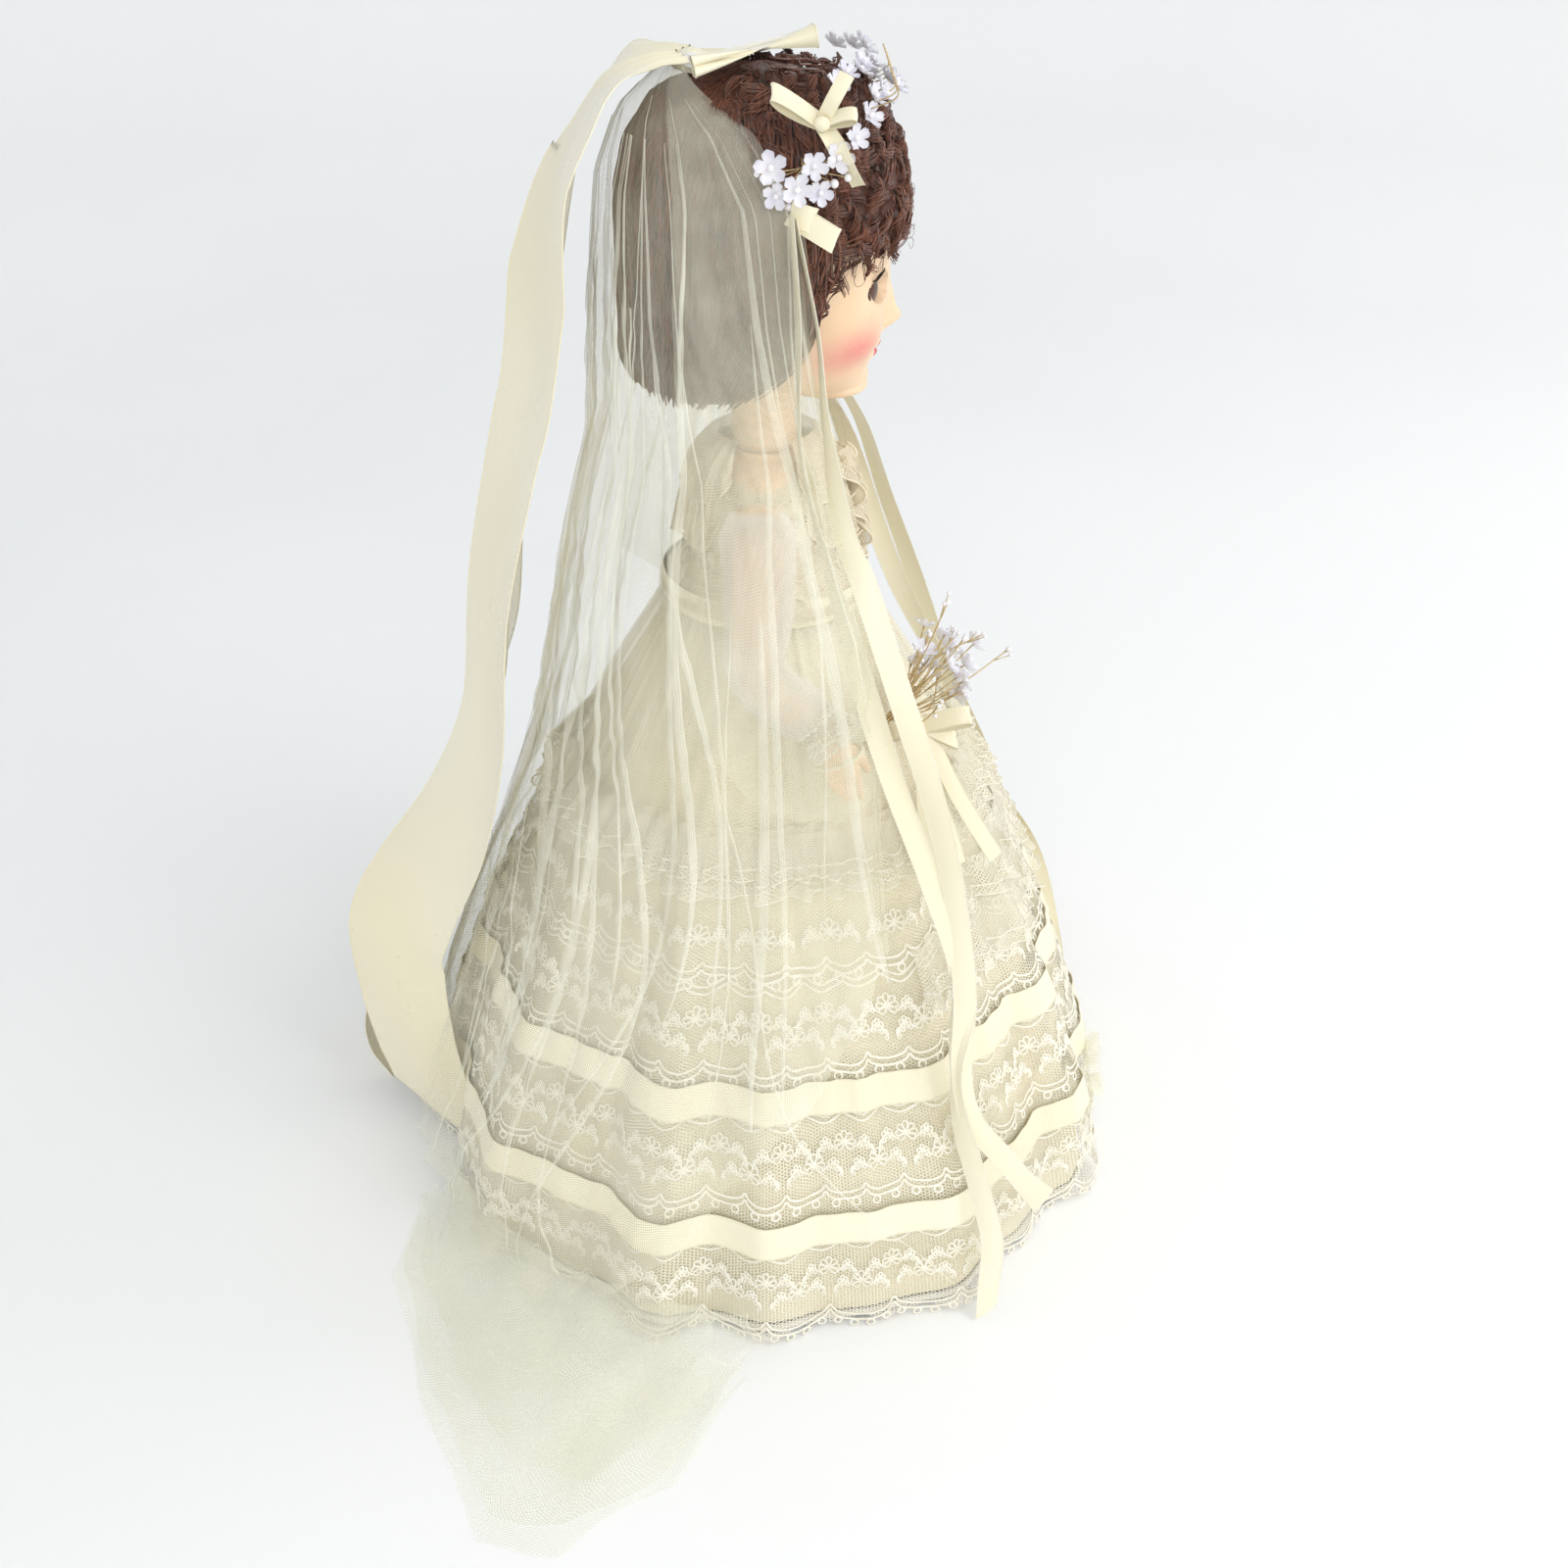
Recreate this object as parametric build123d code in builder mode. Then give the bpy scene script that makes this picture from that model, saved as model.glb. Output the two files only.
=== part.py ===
"""Dressed bride doll, 17 inch class: strung hard body, sleep eyes, wig, lace gown and long veil.

Frame: millimetres, +Z up, the doll faces -Y, +X is the doll's left side.
The origin is on the floor, on the axis of the skirt and of the neck.
"""

import os
from math import cos, radians, sin

from build123d import *

os.makedirs("parts", exist_ok=True)

# ---------------------------------------------------------------- driving dimensions
WALL = 2.5                 # moulded wall of the body
CLOTH = 0.8                # modelled thickness of every fabric layer
SATIN = 1.0                # modelled thickness of satin ribbon
HEAD_SPLIT = 318.4         # cloth above this height turns with the head
BODY_SPLIT = 316.6         # cloth below this height stays with the torso

NECK_TOP_OF_TORSO = 310.4
NECK_SPIGOT_RADIUS = 10.0
NECK_RUNNING_CLEARANCE = 0.08

SHOULDER = (49.6, 2.0, 288.0)      # centre of the left shoulder ball
ELBOW = (58.0, 2.0, 244.0)
WRIST = (68.0, -22.0, 228.0)
KNUCKLES = (70.5, -28.0, 214.0)
TORSO_SIDE = 38.6                  # the arms start beyond this half width
ARM_SIDE = 39.3

HIP = (32.0, 0.0, 198.0)           # centre of the left hip ball
KNEE = (28.5, -1.0, 110.0)
CALF = (27.5, 3.0, 80.0)
ANKLE = (26.0, 4.0, 30.0)
CROTCH_SIDE = 18.0
LEG_SIDE = 19.4
SOLE = 3.0

EYE = (14.5, -28.5, 370.0)         # centre of the left eyeball
EYE_RADIUS = 10.0
EYE_CLEARANCE = 0.35
IRIS_RADIUS = 4.6

SKIRT_TOP = 256.0
WAIST_RADIUS = 36.0
HEM_RADIUS = 148.0
BELL_POWER = 1.42
HEM_THICKNESS = 3.0

# height, half width (X), half depth (Y), centre offset (Y)
HEAD = [
    (329, 7, 7, -24), (334, 17, 19, -17), (345, 28, 32, -10), (360, 35, 40, -4),
    (380, 39, 44, 0), (400, 38.5, 43, 2), (416, 31, 35, 3), (427, 19, 22, 3), (433, 6, 7, 3),
]
WIG = [
    (340, 40, 34, 14), (358, 49, 44, 6), (385, 52, 50, 0), (405, 50.5, 49, 0),
    (422, 42, 41, 1), (434, 26, 27, 2), (440, 8, 9, 3),
]
TORSO = [
    (213, 37, 29, 0), (230, 33, 27, 0), (250, 31.5, 25, 0), (270, 35.5, 26, 0),
    (290, 36.8, 23, 0), (300, 33, 18, 0), (308, 18, 15, 0),
]
# height, half width, half depth, centre offset, half angle from the back
VEIL_ON_HEAD = [
    (436, 15, 9, 26, 95), (425, 44, 25, 22, 98), (405, 56, 47, 8, 100),
    (370, 61, 55, 4, 106), (340, 63, 59, 2, 112), (HEAD_SPLIT, 65, 62, 0, 115),
]
VEIL_ON_BODY = [
    (BODY_SPLIT, 66, 62.5, 0, 115), (300, 74, 67, 0, 116), (285, 81, 71, 0, 117), (270, 87, 75, 0, 118),
    (250, 92, 79, 0, 118), (230, 94, 83, 0, 118), (200, 95, 89, 0, 118), (150, 112, 106, 0, 120),
    (100, 130, 127, 0, 122), (50, 147, 144, 0, 124), (HEM_THICKNESS + 0.2, 157, 153, 0, 125),
]

parts = {}


def skirt_radius(height):
    """Radius of the bell-shaped skirt's lace surface at a height."""
    flare = HEM_RADIUS - WAIST_RADIUS
    return WAIST_RADIUS + flare * (1 - (height / SKIRT_TOP) ** BELL_POWER)


def radial_plane(angle):
    """Vertical plane through the Z axis, its X direction at an angle from +X."""
    a = radians(angle)
    return Plane(origin=(0, 0, 0), x_dir=(cos(a), sin(a), 0), z_dir=(sin(a), -cos(a), 0))


def side(point, sign):
    """Mirror a left-side point to the chosen side: +1 left, -1 right."""
    return (sign * point[0], point[1], point[2])


def bell_layer(low, high, offset, thickness=CLOTH, start=0, arc=360):
    """Shell that follows the skirt, between two heights, at a horizontal offset."""
    steps = 5
    heights = [low + (high - low) * i / steps for i in range(steps + 1)]
    outer = [(skirt_radius(z) + offset, z) for z in heights]
    inner = [(r - thickness, z) for r, z in reversed(outer)]
    with BuildPart() as layer:
        with BuildSketch(radial_plane(start)):
            with BuildLine():
                Spline(*outer)
                Line(outer[-1], inner[0])
                Spline(*inner)
                Line(inner[-1], outer[0])
            make_face()
        revolve(axis=Axis.Z, revolution_arc=arc)
    return layer.part


def stacked_ellipses(sections, grow=0.0):
    """Solid lofted through horizontal ellipses, each grown by an amount."""
    with BuildPart() as body:
        for height, half_width, half_depth, centre in sections:
            with BuildSketch(Plane.XY.offset(height)):
                with Locations((0, centre)):
                    Ellipse(half_width + grow, half_depth + grow)
        loft()
    return body.part


def veil_layer(sections):
    """C-shaped shell round the back, lofted between elliptical arcs."""
    with BuildPart() as layer:
        for height, half_width, half_depth, centre, half_angle in sections:
            with BuildSketch(Plane.XY.offset(height)):
                with BuildLine():
                    outer = EllipticalCenterArc(
                        (0, centre), half_width, half_depth, 90 - half_angle, arc_size=2 * half_angle
                    )
                    inner = EllipticalCenterArc(
                        (0, centre), half_width - CLOTH, half_depth - CLOTH,
                        90 - half_angle, arc_size=2 * half_angle,
                    )
                    Line(outer @ 0, inner @ 0)
                    Line(outer @ 1, inner @ 1)
                make_face()
        loft(ruled=True)
    return layer.part


def limb(points, radii):
    """Solid chain of cones with a ball at each point."""
    with BuildPart() as chain:
        for point, radius in zip(points, radii):
            with Locations(point):
                Sphere(radius)
        for i in range(len(points) - 1):
            run = Vector(*points[i + 1]) - Vector(*points[i])
            with BuildSketch(Plane(origin=points[i], z_dir=run)):
                Circle(radii[i])
            with BuildSketch(Plane(origin=points[i + 1], z_dir=run)):
                Circle(radii[i + 1])
            loft()
    return chain.part


def ribbon(route, width, facing, thickness=SATIN):
    """Flat ribbon along hand-set points; facing is the direction its face looks."""
    with BuildPart() as band:
        for i, point in enumerate(route):
            before = Vector(*route[max(i - 1, 0)])
            after = Vector(*route[min(i + 1, len(route) - 1)])
            along = (after - before).normalized()
            across = along.cross(Vector(*facing)).normalized()
            with BuildSketch(Plane(origin=point, x_dir=across, z_dir=along)):
                Rectangle(width, thickness)
        loft(ruled=True)
    return band.part


def satin_streamer(path, left, right):
    """Wide satin tail: a path in the YZ plane drawn out across X."""
    with BuildPart() as tail:
        with BuildSketch(Plane.YZ.offset(left)):
            with BuildLine() as centre:
                Spline(*path)
            trace(centre.line, line_width=SATIN)
        extrude(amount=right - left)
    return tail.part


def keep(name, part):
    """Label a finished piece and write it to its own file."""
    part.label = name
    parts[name] = part
    export_step(part, f"parts/{name}.step")


# ---------------------------------------------------------------- torso
torso_outer = stacked_ellipses(TORSO)
torso_inner = stacked_ellipses([(213 + WALL, 36.5, 28.7, 0)] + TORSO[1:-1], -WALL)
with BuildPart() as torso_shell:
    add(torso_outer)
    with Locations((0, 0, NECK_TOP_OF_TORSO - 4)):
        Cylinder(15, 4, align=(Align.CENTER, Align.CENTER, Align.MIN))
    with BuildSketch(Plane.XY.offset(182)):
        RectangleRounded(2 * CROTCH_SIDE, 40, 8)
    extrude(amount=34)
    with BuildSketch(Plane.YZ.offset(-TORSO_SIDE)):
        with Locations((SHOULDER[1], SHOULDER[2])):
            Circle(12)
    extrude(amount=2 * TORSO_SIDE)
    add(torso_inner, mode=Mode.SUBTRACT)
    with BuildSketch(Plane.XY.offset(185)):
        RectangleRounded(2 * CROTCH_SIDE - 5, 35, 6)
    extrude(amount=34, mode=Mode.SUBTRACT)
    with BuildSketch(Plane.XY.offset(294)):
        Circle(14)
    extrude(amount=NECK_TOP_OF_TORSO - 4 - 294, mode=Mode.SUBTRACT)
    with BuildSketch(Plane.XY.offset(294)):
        Circle(NECK_SPIGOT_RADIUS + NECK_RUNNING_CLEARANCE)
    extrude(amount=20, mode=Mode.SUBTRACT)
    with BuildSketch(Plane.YZ.offset(-45)):
        with Locations((SHOULDER[1], SHOULDER[2])):
            Circle(4)
    extrude(amount=90, mode=Mode.SUBTRACT)
    with BuildSketch(Plane.YZ.offset(-30)):
        with Locations((HIP[1], HIP[2])):
            Circle(4)
    extrude(amount=60, mode=Mode.SUBTRACT)
keep("torso_shell", torso_shell.part)

with BuildPart() as arm_elastic:
    with BuildSketch(Plane.YZ.offset(-28)):
        with Locations((SHOULDER[1], SHOULDER[2])):
            Circle(1.6)
    extrude(amount=56)
keep("arm_elastic", arm_elastic.part)

with BuildPart() as leg_elastic:
    with BuildSketch(Plane.YZ.offset(-10)):
        with Locations((HIP[1], HIP[2])):
            Circle(1.8)
    extrude(amount=20)
    with BuildSketch(Plane.XY.offset(HIP[2])):
        with Locations((0, -2.6)):
            Circle(1.8)
    extrude(amount=91)
keep("leg_elastic", leg_elastic.part)

# ---------------------------------------------------------------- gown
cloth_outer = stacked_ellipses(TORSO, 1.4)
cloth_inner = stacked_ellipses(TORSO, 0.6)
with BuildPart() as bodice:
    add(cloth_outer)
    add(cloth_inner, mode=Mode.SUBTRACT)
    with BuildSketch(Plane.XY.offset(200)):
        Rectangle(120, 120)
    extrude(amount=SKIRT_TOP - 200 + 0.2, mode=Mode.SUBTRACT)
    with BuildSketch(Plane.XY.offset(304)):
        Rectangle(120, 120)
    extrude(amount=20, mode=Mode.SUBTRACT)
    with BuildSketch(Plane.YZ.offset(-60)):
        with Locations((SHOULDER[1], SHOULDER[2])):
            Circle(12.6)
    extrude(amount=120, mode=Mode.SUBTRACT)
keep("bodice", bodice.part)

with BuildPart() as collar_ruffle:
    for middle in (-90, 90):
        with BuildSketch(radial_plane(middle - 48)):
            with BuildLine():
                Polyline((19, 315.6), (31, 305), (43, 280), (45.4, 280), (33.4, 306.6), (21, 316), close=True)
            make_face()
        revolve(axis=Axis.Z, revolution_arc=96)
keep("collar_ruffle", collar_ruffle.part)

with BuildPart() as belt_ribbon:
    with BuildSketch(Plane.XY.offset(252.5)):
        Circle(39.8)
        Circle(39.0, mode=Mode.SUBTRACT)
    extrude(amount=10)
keep("belt_ribbon", belt_ribbon.part)

with BuildPart() as bloomers:
    add(cloth_outer)
    add(cloth_inner, mode=Mode.SUBTRACT)
    with BuildSketch(Plane.XY.offset(238)):
        Rectangle(120, 120)
    extrude(amount=90, mode=Mode.SUBTRACT)
keep("bloomers", bloomers.part)

GORES = 12
gores = []
for i in range(GORES):
    gores.append(bell_layer(HEM_THICKNESS, 254, -4, start=360 * i / GORES, arc=360 / GORES))
keep("underskirt", Compound(children=gores))

with BuildPart() as hem_binding:
    with BuildSketch(Plane.XY):
        Circle(HEM_RADIUS + CLOTH)
        Circle(HEM_RADIUS - 5, mode=Mode.SUBTRACT)
    extrude(amount=HEM_THICKNESS)
keep("hem_binding", hem_binding.part)

keep("petticoat", bell_layer(6, 238, -9))
keep("overskirt_net", bell_layer(184, 252, 0))
keep("flounce_lace", bell_layer(HEM_THICKNESS, 182, 0))

RUFFLES = [(174, 190, 0, 360), (128, 142, 215, 110)]
ruffle_parts = [bell_layer(z0, z1, 3.4, 2.2, start, arc) for z0, z1, start, arc in RUFFLES]
keep("skirt_ruffles", Compound(children=ruffle_parts))

BAND_WIDTH = 12.0
band_parts = [bell_layer(z, z + BAND_WIDTH, 1.4) for z in (91, 40)]
keep("ribbon_bands", Compound(children=band_parts))

# ---------------------------------------------------------------- veil, streamers, side ribbons
keep("veil_upper", veil_layer(VEIL_ON_HEAD))
keep("veil_lower", veil_layer(VEIL_ON_BODY))

TRAIN_RADIUS = 149.4
with BuildPart() as veil_train:
    with BuildSketch(Plane.XY):
        with BuildLine():
            inner = CenterArc((0, 0), TRAIN_RADIUS, 116, 62)
            Spline(
                inner @ 0, (-80, 152), (-163, 124), (-212, 112), (-243, 96), (-247, 76), (-240, 58),
                (-206, 28), (-172, 6), inner @ 1,
            )
        make_face()
    extrude(amount=HEM_THICKNESS)
keep("veil_train", veil_train.part)

STREAMER_WIDTH = 54.0
STREAMER_GAP = 2.0
head_path = [(30.6, 443), (49, 435), (65, 410), (73, 383), (81, 340), (87, HEAD_SPLIT)]
left_path = [
    (87.5, BODY_SPLIT), (99, 267), (109, 208), (129, 160), (158, 102), (178, 45), (180, 20), (172, 1),
]
right_path = [
    (87.5, BODY_SPLIT), (98, 267), (107, 208), (124, 165), (146, 128), (158, 90), (163, 45), (164, 1),
]
spans = {"left": (STREAMER_GAP, STREAMER_GAP + STREAMER_WIDTH)}
spans["right"] = (-spans["left"][1], -spans["left"][0])
upper_tails = [satin_streamer(head_path, *spans[name]) for name in spans]
keep("streamers_upper", Compound(children=upper_tails))
keep("streamer_lower_left", satin_streamer(left_path, *spans["left"]))
keep("streamer_lower_right", satin_streamer(right_path, *spans["right"]))

SIDE_RIBBON_WIDTH = 9.5
side_ribbon_heads = [
    [(56, -21, 378), (63, -25, 340), (66.5, -27, HEAD_SPLIT + 0.4)],
    [(54, -31, 376), (60, -36, 340), (62.5, -40, HEAD_SPLIT + 0.4)],
]
side_ribbon_tails = [
    [
        (68, -28, BODY_SPLIT - 0.4), (77, -32, 293), (88, -43, 251), (91, -56, 197), (97, -69, 155),
        (107, -76, 130), (122, -88, 66), (134, -95, 6),
    ],
    [
        (65, -42, BODY_SPLIT - 0.4), (78, -46, 290), (88, -56, 249), (91, -70, 197), (100, -84, 150),
        (112, -95, 100), (124, -101, 50), (134, -104, 6),
    ],
]


def ribbon_pair(routes):
    """Every route on both sides, the face looking away from the axis."""
    bands = []
    for route in routes:
        for sign in (-1, 1):
            bands.append(ribbon([side(p, sign) for p in route], SIDE_RIBBON_WIDTH, (sign, -0.45, 0)))
    return Compound(children=bands)


keep("side_ribbons_upper", ribbon_pair(side_ribbon_heads))
keep("side_ribbons_lower", ribbon_pair(side_ribbon_tails))

# ---------------------------------------------------------------- head
head_outer = stacked_ellipses(HEAD)
head_inner = stacked_ellipses([(337, 15, 17, -15)] + HEAD[2:-1], -WALL)
CROWN_OPENING = 420.0
with BuildPart() as head_shell:
    add(head_outer)
    with BuildSketch(Plane.XY.offset(NECK_TOP_OF_TORSO + 0.4)):
        Circle(13)
    extrude(amount=36)
    with Locations((0, -45, 356)):
        Sphere(3.6)
    add(head_inner, mode=Mode.SUBTRACT)
    with BuildSketch(Plane.XY.offset(302)):
        Circle(NECK_SPIGOT_RADIUS)
    extrude(amount=12)
    with BuildSketch(Plane.XY.offset(299)):
        Circle(12.4)
    extrude(amount=3)
    with BuildSketch(Plane.XY.offset(298)):
        Circle(7)
    extrude(amount=60, mode=Mode.SUBTRACT)
    with BuildSketch(Plane.XY.offset(CROWN_OPENING)):
        Rectangle(100, 110)
    extrude(amount=20, mode=Mode.SUBTRACT)
    with BuildSketch(Plane.XZ.offset(20)):
        with Locations((-EYE[0], EYE[2]), (EYE[0], EYE[2])):
            RectangleRounded(13.4, 11.6, 4)
    extrude(amount=40, mode=Mode.SUBTRACT)
    with Locations(side(EYE, -1), EYE):
        Sphere(EYE_RADIUS + EYE_CLEARANCE, mode=Mode.SUBTRACT)
keep("head_shell", head_shell.part)

with BuildPart() as crown_pate:
    add(head_outer)
    with BuildSketch(Plane.XY.offset(300)):
        Rectangle(100, 110)
    extrude(amount=CROWN_OPENING + 0.1 - 300, mode=Mode.SUBTRACT)
    add(stacked_ellipses(HEAD, -WALL), mode=Mode.SUBTRACT)
keep("crown_pate", crown_pate.part)

HOOK_WIRE = 1.0
with BuildPart() as neck_hook:
    with BuildSketch(Plane.XY.offset(294)):
        Circle(HOOK_WIRE)
    extrude(amount=17)
    with BuildSketch(Plane.XY.offset(295.5)):
        Circle(6.4)
    extrude(amount=3)
    with BuildSketch(Plane.YZ.offset(-3)):
        with Locations((0, 293.2)):
            Circle(3)
            Circle(1.9, mode=Mode.SUBTRACT)
    extrude(amount=6)
keep("neck_hook", neck_hook.part)

# ---------------------------------------------------------------- wig
FACE_TOP = 389.0
FACE_HALF_WIDTH = 36.0
FRINGE_BACK = -24.0
cap_outer = stacked_ellipses(HEAD, 1.6)
cap_inner = stacked_ellipses(HEAD, 0.4)
with BuildPart() as wig_cap:
    add(cap_outer)
    add(cap_inner, mode=Mode.SUBTRACT)
    with BuildSketch(Plane.XY.offset(300)):
        Rectangle(120, 130)
    extrude(amount=FACE_TOP + 3 - 300, mode=Mode.SUBTRACT)
keep("wig_cap", wig_cap.part)

wig_outer = stacked_ellipses(WIG)
hair_clear = stacked_ellipses(HEAD, 2.2)
with BuildPart() as wig_curls:
    add(wig_outer)
    add(hair_clear, mode=Mode.SUBTRACT)
    with BuildSketch(Plane.XY.offset(300)):
        with Locations((0, -60)):
            Rectangle(2 * FACE_HALF_WIDTH, 90)
    extrude(amount=FACE_TOP - 300, mode=Mode.SUBTRACT)
    with BuildSketch(Plane.XY.offset(300)):
        with Locations((0, FRINGE_BACK - 50)):
            Rectangle(140, 100)
    extrude(amount=150, mode=Mode.SUBTRACT)
    with BuildSketch(Plane.XY.offset(300)):
        Circle(14)
    extrude(amount=48, mode=Mode.SUBTRACT)
keep("wig_curls", wig_curls.part)

FRINGE = [
    (372, 50, 41, -3), (384, 51, 48, -3), (400, 50, 50, -3), (418, 44, 47, -3), (430, 34, 40, -3),
    (437, 20, 27, -3), (441, 9, 15, -3),
]
fringe_outer = stacked_ellipses(FRINGE)
with BuildPart() as wig_fringe:
    add(fringe_outer)
    add(hair_clear, mode=Mode.SUBTRACT)
    with BuildSketch(Plane.XY.offset(300)):
        with Locations((0, -60)):
            Rectangle(2 * FACE_HALF_WIDTH - 8, 90)
    extrude(amount=FACE_TOP - 6 - 300, mode=Mode.SUBTRACT)
    with BuildSketch(Plane.XY.offset(300)):
        with Locations((0, FRINGE_BACK - 0.4 + 50)):
            Rectangle(140, 100)
    extrude(amount=150, mode=Mode.SUBTRACT)
keep("wig_fringe", wig_fringe.part)

# ---------------------------------------------------------------- headpiece and bows
BLOSSOM_RADIUS = 5.2
FRONT_BLOSSOMS = [
    (-27, -43, 430), (-16, -44, 436), (-5, -45, 438), (-31, -32, 437), (-20, -33, 441), (-9, -36, 443),
    (6, -45, 438), (17, -44, 435),
]
SIDE_BLOSSOMS = [(53.2, -3, 415), (52.6, -13.5, 411), (47.5, -22, 420.5)]


def blossoms(points):
    """One ball for the outer size of each blossom."""
    balls = []
    for point in points:
        with BuildPart() as ball:
            with Locations(point):
                Sphere(BLOSSOM_RADIUS - 0.2)
        balls.append(ball.part)
    return Compound(children=balls)


keep("flower_cluster_front", blossoms(FRONT_BLOSSOMS))
keep("flower_cluster_side", blossoms([side(p, sign) for sign in (-1, 1) for p in SIDE_BLOSSOMS]))

with BuildPart() as hair_bow:
    with BuildSketch(Plane.YZ.offset(-46)):
        with Locations((-18, 429)):
            Rectangle(6, 5)
        with Locations((-8, 432)):
            RectangleRounded(15, 7, 2)
        with Locations((-31, 422)):
            RectangleRounded(7, 16, 2)
        with Locations((-25, 430)):
            RectangleRounded(11, 6, 2)
    extrude(amount=3.4)
keep("hair_bow", hair_bow.part)

with BuildPart() as ear_bow:
    for sign in (-1, 1):
        with BuildSketch(Plane.YZ.offset(sign * 54.6 - 1.6)):
            with Locations((-14, 401)):
                RectangleRounded(17, 9, 3)
        extrude(amount=3.2)
keep("ear_bow", ear_bow.part)

BOW_WING = 30.0
with BuildPart() as back_bow:
    for start in (-BOW_WING - 5, 5):
        with BuildSketch(Plane.YZ.offset(start)):
            with BuildLine():
                Polyline(
                    (-21, 445.6), (4, 443.4), (18, 441.2), (18, 442.6), (4, 445.8), (-21, 447.2), close=True
                )
            make_face()
        extrude(amount=BOW_WING)
keep("back_bow", back_bow.part)

with BuildPart() as back_bow_knot:
    with BuildSketch(Plane.XZ.offset(-29)):
        with Locations((0, 443.6)):
            RectangleRounded(9.4, 6, 2)
    extrude(amount=10)
keep("back_bow_knot", back_bow_knot.part)

# ---------------------------------------------------------------- sleep eyes
eyeballs, irises, lashes = {}, [], []
for name, sign in (("right", -1), ("left", 1)):
    x, y, z = side(EYE, sign)
    with BuildPart() as eyeball:
        with Locations((x, y, z)):
            Sphere(EYE_RADIUS)
        with BuildSketch(Plane.XZ.offset(-y)):
            with Locations((x, z)):
                Circle(IRIS_RADIUS)
        extrude(amount=20, mode=Mode.SUBTRACT)
    with BuildPart() as iris:
        with Locations((x, y, z)):
            Sphere(EYE_RADIUS)
        with BuildSketch(Plane.XZ.offset(-y)):
            with Locations((x, z)):
                Circle(IRIS_RADIUS)
        extrude(amount=20, mode=Mode.INTERSECT)
    with BuildPart() as lash:
        with BuildSketch(Plane.YZ.offset(x - 3.6)):
            with Locations((y, z)):
                with Locations(Location((0, 0), 153)):
                    with Locations((EYE_RADIUS + 0.7, 0)):
                        Rectangle(1.3, 0.5)
        extrude(amount=7.2)
    eyeballs[name] = eyeball.part
    irises.append(iris.part)
    lashes.append(lash.part)
    keep(f"eyeball_{name}", eyeball.part)
keep("irises", Compound(children=irises))
keep("lash_bars", Compound(children=lashes))

with BuildPart() as eye_rocker_bar:
    with BuildSketch(Plane.YZ.offset(-4.4)):
        with Locations((EYE[1], EYE[2])):
            Circle(1.5)
    extrude(amount=8.8)
    with BuildSketch(Plane.YZ.offset(-2)):
        with BuildLine():
            Polyline(
                (EYE[1], EYE[2] - 1.2), (EYE[1] + 12, EYE[2] - 15), (EYE[1] + 14, EYE[2] - 13),
                (EYE[1] + 1, EYE[2] + 1.2), close=True,
            )
        make_face()
    extrude(amount=4)
keep("eye_rocker_bar", eye_rocker_bar.part)

with BuildPart() as eye_weight:
    with BuildSketch(Plane.YZ.offset(-7)):
        with Locations((EYE[1] + 15.4, EYE[2] - 17)):
            Circle(3.6)
    extrude(amount=14)
keep("eye_weight", eye_weight.part)

# ---------------------------------------------------------------- arms
ARM_POINTS = [SHOULDER, ELBOW, WRIST, KNUCKLES]
ARM_RADII = [10.0, 7.6, 5.4, 5.2]
FINGER_PITCH = 3.1
SLEEVE_RADII = [12.4, 10.6, 8.6]
HOOK_HOLE = 1.6
LOOP_RADIUS = 9.4


def arm_side_cut(sign):
    """Box that holds everything on the torso's side of the arm."""
    with BuildPart() as box:
        with Locations((sign * (ARM_SIDE - 30), 0, 250)):
            Box(60, 120, 140)
    return box.part


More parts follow.
